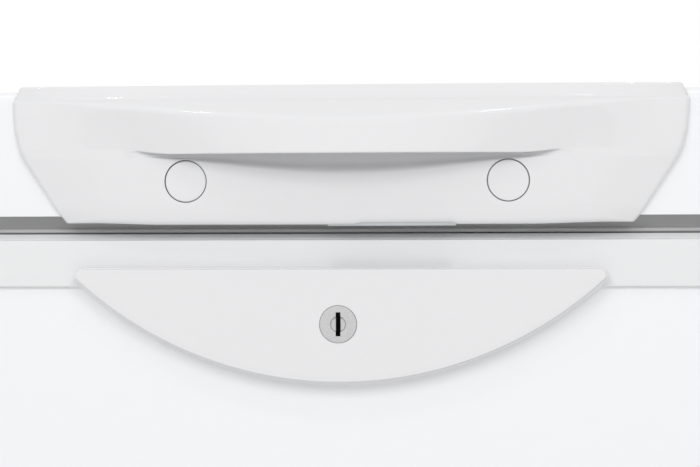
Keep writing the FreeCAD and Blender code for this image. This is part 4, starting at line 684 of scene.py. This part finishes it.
# the half-moon's outline drawn in by a distance: a straight top, two rounded ends and one wide arc
def moonOutline(inset, topInset, steps=12):
    top = moonTop - topInset
    end = moonTop - moon["end"]
    sagitta = end - moonBottom
    radius = (moon["halfWidth"] ** 2 + sagitta ** 2) / (2 * sagitta)
    centre = moonBottom + radius - moon["bottomEase"] * inset      # the rim is narrower at the bottom
    corner = moon["corner"] - moon["cornerEase"] * topInset
    reach = radius - inset
    endZ = end + moon["endRise"] * topInset
    half = math.sqrt(reach ** 2 - (centre - endZ) ** 2)
    sweep = np.linspace(math.asin(half / reach), -math.asin(half / reach), 96)
    arc = np.stack([reach * np.sin(sweep), centre - reach * np.cos(sweep)], -1)
    turn = np.linspace(math.pi, math.pi / 2, steps)
    rise = top - endZ
    left = np.stack([-half + corner + corner * np.cos(turn), top - rise + rise * np.sin(turn)], -1)
    turn = np.linspace(math.pi / 2, 0, steps)
    right = np.stack([half - corner + corner * np.cos(turn), top - rise + rise * np.sin(turn)], -1)
    run = np.stack([np.linspace(corner - half, half - corner, 60), np.full(60, top)], -1)[1:-1]
    return np.concatenate([left, run, right, arc[1:-1]])


# loops of the outline drawn in and brought forward over the bevel, then a flat face
def moonSurface():
    steps = rounded([(0, 0), (0, moon["side"]), (moon["foot"], moon["edge"]), (moon["bevel"], moonFace),
                     (moon["bevel"] + 6, moonFace)], [0, 0.9, 0.3, 0.45, 0], 8)
    loops = []
    for inset, p in steps:
        share = moon["topBevel"] / moon["bevel"]
        loop = moonOutline(inset, min(inset, moon["bevel"] + 1) * share)
        y = np.full(len(loop), frontY - p)
        loops.append(np.stack([lockX + loop[:, 0], y, loop[:, 1]], -1))
    return surface(np.stack(loops) * mm, False, True, True, True)


moonPiece = addPiece("lockCover", [moonSurface()], "cabinet", made["handlePlastic"],
                     ("escutcheon",))
lockPlace = (lockX, frontY, lockZ)
boreForm = revolved([(0, -5), (moon["bore"], -5), (moon["bore"], 40), (0, 40)], lockPlace, towardsViewer, 72)
armSlot = roundedBlock((lockX - moon["slotBack"], frontY - moon["slotFront"], moonTop - 5),
                       (lockX + moon["slotReach"], frontY - moon["slotRear"], moonTop + 3), 0.3)
armHollow = roundedBlock((lockX - moon["hollowBack"], frontY - moon["hollowFront"],
                          lockZ - moon["hollowBack"]),
                         (lockX + moon["hollowReach"], frontY + 3, moonTop - moon["hollowRoof"]), 0.3)
carve(moonPiece, [boreForm, armSlot, armHollow])

lock = {"radius": 9.0, "rim": 0.55, "flange": 1.8, "barrel": 6.9, "dimple": 3.9, "dimpleDepth": 1.1,
        "slotWidth": 2.3, "slotHeight": 11.6, "slotDepth": 18.0, "shadeGap": 0.06, "shadeDepth": 0.7}
lockFace = frontY - plugLow[1]
lockBack = frontY - plugHigh[1]
profile = rounded([(0, lockBack), (lock["barrel"], lockBack), (lock["barrel"], lockFace - lock["flange"]),
                   (lock["radius"], lockFace - lock["flange"]),
                   (lock["radius"], lockFace), (lock["dimple"], lockFace),
                   (lock["dimple"] - 0.5, lockFace - lock["dimpleDepth"]),
                   (0, lockFace - lock["dimpleDepth"])],
                  [0, 0.3, 0.2, 0.2, lock["rim"], 0.2, 0.4, 0], 5)
plugPiece = addPiece("lockFace", [revolved(profile, lockPlace, towardsViewer, 72)], "lock",
                     made["lockMetal"], ("lock_plug",))
slotHalfX = lock["slotWidth"] / 2
slotHalfZ = lock["slotHeight"] / 2
keySlot = roundedBlock((lockX - slotHalfX, plugLow[1] - 3, lockZ - slotHalfZ),
                       (lockX + slotHalfX, plugLow[1] + lock["slotDepth"], lockZ + slotHalfZ), 0.25)
carve(plugPiece, [keySlot])
# a near-black block set just inside the key slot: painted shade standing in for the darkness deep in the slot
shadeX = slotHalfX - lock["shadeGap"]
shadeZ = slotHalfZ - lock["shadeGap"]
paintedSlotShade = roundedBlock((lockX - shadeX, plugLow[1] + lock["shadeDepth"], lockZ - shadeZ),
                      (lockX + shadeX, plugLow[1] + lock["slotDepth"] - 0.2, lockZ + shadeZ), 0.2)
addPiece("paintedSlotShade", [paintedSlotShade], "lock", made["keyShade"])
print("lock cover and lock made")


# basket of welded wire: uprights, floor wires and hoops, a rim, and rails out to the ledges
basket = {"wire": 1.5, "rim": 2.5, "across": 7, "along": 12, "rows": 5, "halfDepth": 199.5, "rimCorner": 8}
low, high = lowHigh("storage_basket")
meshLow = np.array([low[0] + basket["wire"], middleY - basket["halfDepth"], low[2] + basket["wire"]])
meshHigh = np.array([high[0] - basket["wire"], middleY + basket["halfDepth"], high[2] - basket["rim"]])
xEnds, yEnds = np.stack([meshLow, meshHigh], -1)[:2]
xs = np.linspace(meshLow[0], meshHigh[0], basket["across"])
ys = np.linspace(meshLow[1], meshHigh[1], basket["along"])
zs = np.linspace(meshLow[2], meshHigh[2], basket["rows"])


# wires along one axis, one at every pairing of the given places on the two other axes
def wireSet(axis, firstPlaces, secondPlaces):
    grid = np.stack(np.meshgrid(firstPlaces, secondPlaces, indexing="ij"), -1).reshape(-1, 2)
    return np.insert(grid, axis, meshLow[axis], axis=1), np.insert(grid, axis, meshHigh[axis], axis=1)


wires = [wireSet(2, xs, yEnds), wireSet(2, xEnds, ys), wireSet(1, xs, zs[:1]), wireSet(0, ys, zs[:1]),
         wireSet(0, yEnds, zs[1:-1]), wireSet(1, xEnds, zs[1:-1])]
starts, ends = [np.concatenate(points) for points in zip(*wires)]
rimZ = meshHigh[2]
rimCorners = np.array([(meshLow[0], meshLow[1], rimZ), (meshHigh[0], meshLow[1], rimZ),
                       (meshHigh[0], meshHigh[1], rimZ), (meshLow[0], meshHigh[1], rimZ)])
rimPath = rounded(rimCorners, [basket["rimCorner"]] * 4, 8)
railY = high[1] - middleY - basket["rim"]
railLow, railHigh = low[0] + basket["rim"], high[0] - basket["rim"]
rails = [((railLow, middleY + side * railY, rimZ), (railHigh, middleY + side * railY, rimZ))
         for side in (-1, 1)]
rails += [((x, middleY + side * basket["halfDepth"], rimZ), (x, middleY + side * railY, rimZ))
          for side in (-1, 1) for x in (railLow, (railLow + railHigh) / 2, railHigh)]
railStarts, railEnds = np.array(rails).transpose(1, 0, 2)
addPiece("wireBasket", [rods(starts, ends, basket["wire"]), tube(rimPath, basket["rim"], closed=True),
                        rods(railStarts, railEnds, basket["rim"], 14)], "basket",
         made["coatedWire"], ("storage_basket",), 50)
print("basket made")


# feet and hinge springs
foot = {"pad": 19.0, "padHeight": 9.0, "hub": 9.0, "hubHeight": 14.0, "stem": 5.0}
for name in ("foot_front_left", "foot_front_right", "foot_rear_left", "foot_rear_right"):
    low, high = lowHigh(name)
    centre = ((low[0] + high[0]) / 2, (low[1] + high[1]) / 2, 0)
    profile = rounded([(0, 0), (foot["pad"], 0), (foot["pad"], foot["padHeight"] * 0.5),
                       (foot["hub"] + 1, foot["padHeight"]), (foot["hub"], foot["hubHeight"]),
                       (foot["stem"], foot["hubHeight"]), (foot["stem"], high[2]), (0, high[2])],
                      [0, 1.2, 2.0, 1.0, 0.6, 0.2, 0.6, 0], 5)
    addPiece(name.replace("_", "") + "Pad", [revolved(profile, centre, (0, 0, 1), 56)], name,
             made["footPlastic"], (name,))

spring = {"wire": 1.1, "turns": 7, "flatEnds": 0.08}
for side in ("left", "right"):
    low, high = lowHigh("hinge_spring_" + side)
    centre = (low + high) / 2
    coil = (high[0] - low[0]) / 2 - spring["wire"]
    turn = np.linspace(0, 2 * math.pi * spring["turns"], 40 * spring["turns"])
    share = np.clip(turn / turn[-1] * (1 + 2 * spring["flatEnds"]) - spring["flatEnds"], 0, 1)
    path = np.stack([centre[0] + coil * np.cos(turn), centre[1] + coil * np.sin(turn),
                     low[2] + spring["wire"] + share * (high[2] - low[2] - 2 * spring["wire"])], -1)
    addPiece("hingeCoil_" + side, [tube(path, spring["wire"], around=10)], "cabinet",
             made["zincSheet"], ("hinge_spring_" + side,), 50)
print("feet and springs made")


# thermostat knob, dial marks and lenses
knob = {"radius": 17.0, "ribs": 24, "ribDepth": 0.035, "ridge": 2.2, "ridgeBack": 4.0, "ridgeTip": 15.6,
        "shaft": 2.95}
low, high = lowHigh("thermostat_knob")
knobPlace = ((low[0] + high[0]) / 2, frontY, (low[2] + high[2]) / 2)
knobFront = frontY - low[1]
knobBack = frontY - high[1]
ribbed = revolved(rounded([(3, 0.2), (knob["radius"] - 0.3, 0.2), (knob["radius"] - 0.8, knobFront - 3.0),
                           (0, knobFront - 2.6)], [0, 0.4, 1.4, 0], 7), knobPlace, towardsViewer, 144,
                  lambda turn: 1 - knob["ribDepth"] * np.abs(np.sin(turn * knob["ribs"] / 2)))
shaft = revolved([(0, knobBack), (knob["shaft"], knobBack), (knob["shaft"], 1), (0, 1)], knobPlace,
                 towardsViewer, 32)
pointer = roundedBlock((knobPlace[0] - knob["ridge"], low[1], knobPlace[2] - knob["ridgeBack"]),
                       (knobPlace[0] + knob["ridge"], low[1] + 4, knobPlace[2] + knob["ridgeTip"]), 0.8)
addPiece("thermostatDial", [ribbed, shaft, pointer], "thermostat_knob", made["innerPlastic"],
         ("thermostat_knob",))

marks = {"count": 7, "from": -135.0, "to": 135.0, "inner": 20.5, "shortest": 2.5, "longest": 6.5,
         "width": 0.55, "proud": 3.0}
angle = np.radians(np.linspace(marks["from"], marks["to"], marks["count"]))
outer = marks["inner"] + np.linspace(marks["shortest"], marks["longest"], marks["count"])
markY = np.full(marks["count"], frontY - marks["proud"])
starts, ends = [np.stack([knobPlace[0] + reach * np.sin(angle), markY,
                          knobPlace[2] + reach * np.cos(angle)], -1) for reach in (marks["inner"], outer)]
addPiece("dialMarks", [rods(starts, ends, marks["width"], 8)], "cabinet", made["dialInk"])

lens = {"flange": 5.5, "radius": 4.15, "shoulder": 2.6, "back": 1.2, "inset": 6.0,
        "colours": ("greenLens", "amberLens", "redLens")}
low, high = lowHigh("indicator_lenses")
lensZ = (low[2] + high[2]) / 2
lensPlaces = np.linspace(low[0] + lens["inset"], high[0] - lens["inset"], len(lens["colours"]))
for number, x in enumerate(lensPlaces):
    profile = rounded([(0, -lens["back"]), (lens["flange"], -lens["back"]), (lens["flange"], 0.2),
                       (lens["radius"], 0.3), (lens["radius"], lens["shoulder"]), (0, frontY - low[1])],
                      [0, 0.2, 0.2, 0.2, 1.4, 0], 6)
    addPiece("lens" + str(number + 1), [revolved(profile, (x, frontY, lensZ), towardsViewer, 40)], "cabinet",
             made[lens["colours"][number]], ("indicator_lenses",))
print("controls made")


# drain outlet, stopper and tub plug
drain = {"flange": 17.0, "bore": 7.1, "neck": 9.2, "neckDepth": 0.8}
low, high = lowHigh("drain_bezel")
drainPlace = ((low[0] + high[0]) / 2, frontY, (low[2] + high[2]) / 2)
reach = frontY - low[1]
profile = rounded([(drain["bore"], -drain["neckDepth"]), (drain["neck"], -drain["neckDepth"]),
                   (drain["neck"], 0), (drain["flange"], 0), (drain["flange"] - 0.6, reach * 0.55),
                   (drain["flange"] - 4, reach), (drain["bore"] + 0.8, reach), (drain["bore"], reach - 0.8)],
                  [0.2, 0.2, 0.2, 0.3, 1.5, 1.8, 0.6, 0.6], 6)
profile = np.concatenate([profile, profile[:1]])
addPiece("drainOutlet", [revolved(profile, drainPlace, towardsViewer, 64)], "cabinet",
         made["innerPlastic"], ("drain_bezel",))

stopper = {"radius": 12.0, "thickness": 4.0, "stemTip": 6.4, "stem": 6.6, "tabHalf": 1.5, "tabReach": 10.0,
           "tabRise": 9.0}
low, high = lowHigh("drain_cap")
stemEnd = frontY - high[1]
seat = frontY - low[1] - stopper["tabReach"]
rim = seat - stopper["thickness"]
profile = rounded([(0, stemEnd), (stopper["stemTip"], stemEnd), (stopper["stem"], rim),
                   (stopper["radius"], rim), (stopper["radius"], seat), (0, seat)],
                  [0, 0.8, 0.2, 0.6, 1.0, 0], 6)
tab = roundedBlock((drainPlace[0] - stopper["tabHalf"], low[1], drainPlace[2] - stopper["tabRise"]),
                   (drainPlace[0] + stopper["tabHalf"], low[1] + stopper["tabReach"] + 1,
                    drainPlace[2] + stopper["tabRise"]), 1.0)
addPiece("drainStopper", [revolved(profile, drainPlace, towardsViewer, 48), tab], "drain_cap",
         made["greyPlastic"], ("drain_cap",))

plug = {"radius": 14.0, "stemTip": 6.2, "stem": 6.5, "underDrop": 16.0, "rimDrop": 12.4, "topDrop": 11.6,
        "ringDrop": 6.6, "ringWide": 7.2, "ringHigh": 5.1, "ringWire": 1.4, "ringSteps": 40}
low, high = lowHigh("drain_plug")
plugCentre = ((low[0] + high[0]) / 2, (low[1] + high[1]) / 2, low[2])
tall = high[2] - low[2]
profile = rounded([(0, 0), (plug["stemTip"], 0), (plug["stem"], tall - plug["underDrop"]),
                   (plug["radius"], tall - plug["underDrop"]), (plug["radius"], tall - plug["rimDrop"]),
                   (0, tall - plug["topDrop"])], [0, 0.8, 0.2, 0.6, 1.2, 0], 6)
turn = np.linspace(0, 2 * math.pi, plug["ringSteps"], endpoint=False)
pull = np.stack([np.full(plug["ringSteps"], plugCentre[0]), plugCentre[1] + plug["ringWide"] * np.cos(turn),
                 high[2] - plug["ringDrop"] + plug["ringHigh"] * np.sin(turn)], -1)
addPiece("tubStopper", [revolved(profile, plugCentre, (0, 0, 1), 48),
                        tube(pull, plug["ringWire"], helper=(1, 0, 0), closed=True)],
         "drain_plug", made["greyPlastic"], ("drain_plug",))
print("drain pieces made")


# compressor can with its stub of tube
can = {"radius": 66.0, "band": 3.0, "bandHalf": 5.0, "seam": 0.52, "stubRadius": 3.1,
       "stubPath": ((33, -50, 100), (39, -76.8, 104), (41, -86.8, 140))}
low, high = lowHigh("compressor_shell")
canX, canY = high[0] - can["radius"] - can["band"], high[1] - can["radius"] - can["band"]
tall = high[2] - low[2]
seam = tall * can["seam"]
bandRadius = can["radius"] + can["band"]
profile = rounded([(0, 0), (can["radius"] * 0.8, 0), (can["radius"], 24),
                   (can["radius"], seam - can["bandHalf"]), (bandRadius, seam - can["bandHalf"]),
                   (bandRadius, seam + can["bandHalf"]),
                   (can["radius"], seam + can["bandHalf"]), (can["radius"], tall - 34),
                   (can["radius"] * 0.72, tall - 5), (0, tall)],
                  [0, 14, 14, 1.5, 1.2, 1.2, 1.5, 20, 20, 0], 8)
stub = rounded(np.array([canX, canY, low[2]]) + can["stubPath"], [0, 9, 0], 8)
addPiece("compressorCan", [revolved(profile, (canX, canY, low[2]), (0, 0, 1), 72),
                           tube(stub, can["stubRadius"], helper=(1, 0, 0))],
         "cabinet", made["blackPaint"], ("compressor_shell",))

# CAD forms that are right as they are: new name, finish and width of the broken edge
soft = {"outer_wrapper": ("cabinetShell", "enamel", 0.15), "rear_panel": ("rearSheet", "enamel", 0.15),
        "base_pan": ("baseTray", "zincSheet", 0.3), "inner_liner": ("tubLiner", "embossedLiner", 0.4),
        "lid_liner": ("lidUnderside", "innerPlastic", 0.5),
        "side_grille": ("louvredGrille", "greyPlastic", 0.35),
        "machine_cover": ("machineCover", "zincSheet", 0.2),
        "control_panel": ("controlBezel", "innerPlastic", 0.6),
        "power_inlet": ("cordGland", "greyPlastic", 0.4),
        "strike_plate": ("strikePlate", "zincSheet", 0.06), "lock_arm": ("lockHook", "zincSheet", 0.25),
        "hinge_body_left": ("hingeBodyLeft", "zincSheet", 0.25),
        "hinge_body_right": ("hingeBodyRight", "zincSheet", 0.25),
        "hinge_wing_left": ("hingeLeafLeft", "zincSheet", 0.25),
        "hinge_wing_right": ("hingeLeafRight", "zincSheet", 0.25),
        "hinge_plunger_left": ("plungerLeft", "zincSheet", 0.3),
        "hinge_plunger_right": ("plungerRight", "zincSheet", 0.3),
        "hinge_pins": ("hingePins", "fastenerSteel", 0.3),
        "hinge_screws": ("hingeScrews", "fastenerSteel", 0.4),
        "wing_screws": ("leafScrews", "fastenerSteel", 0.4),
        "relay_cover": ("relayCover", "greyPlastic", 0.8),
        "compressor_mount": ("compressorFeet", "zincSheet", 0.6)}
for node, (name, material, bevel) in soft.items():
    softened(node, name, made[material], bevel)
print("softened pieces made:", len(soft))
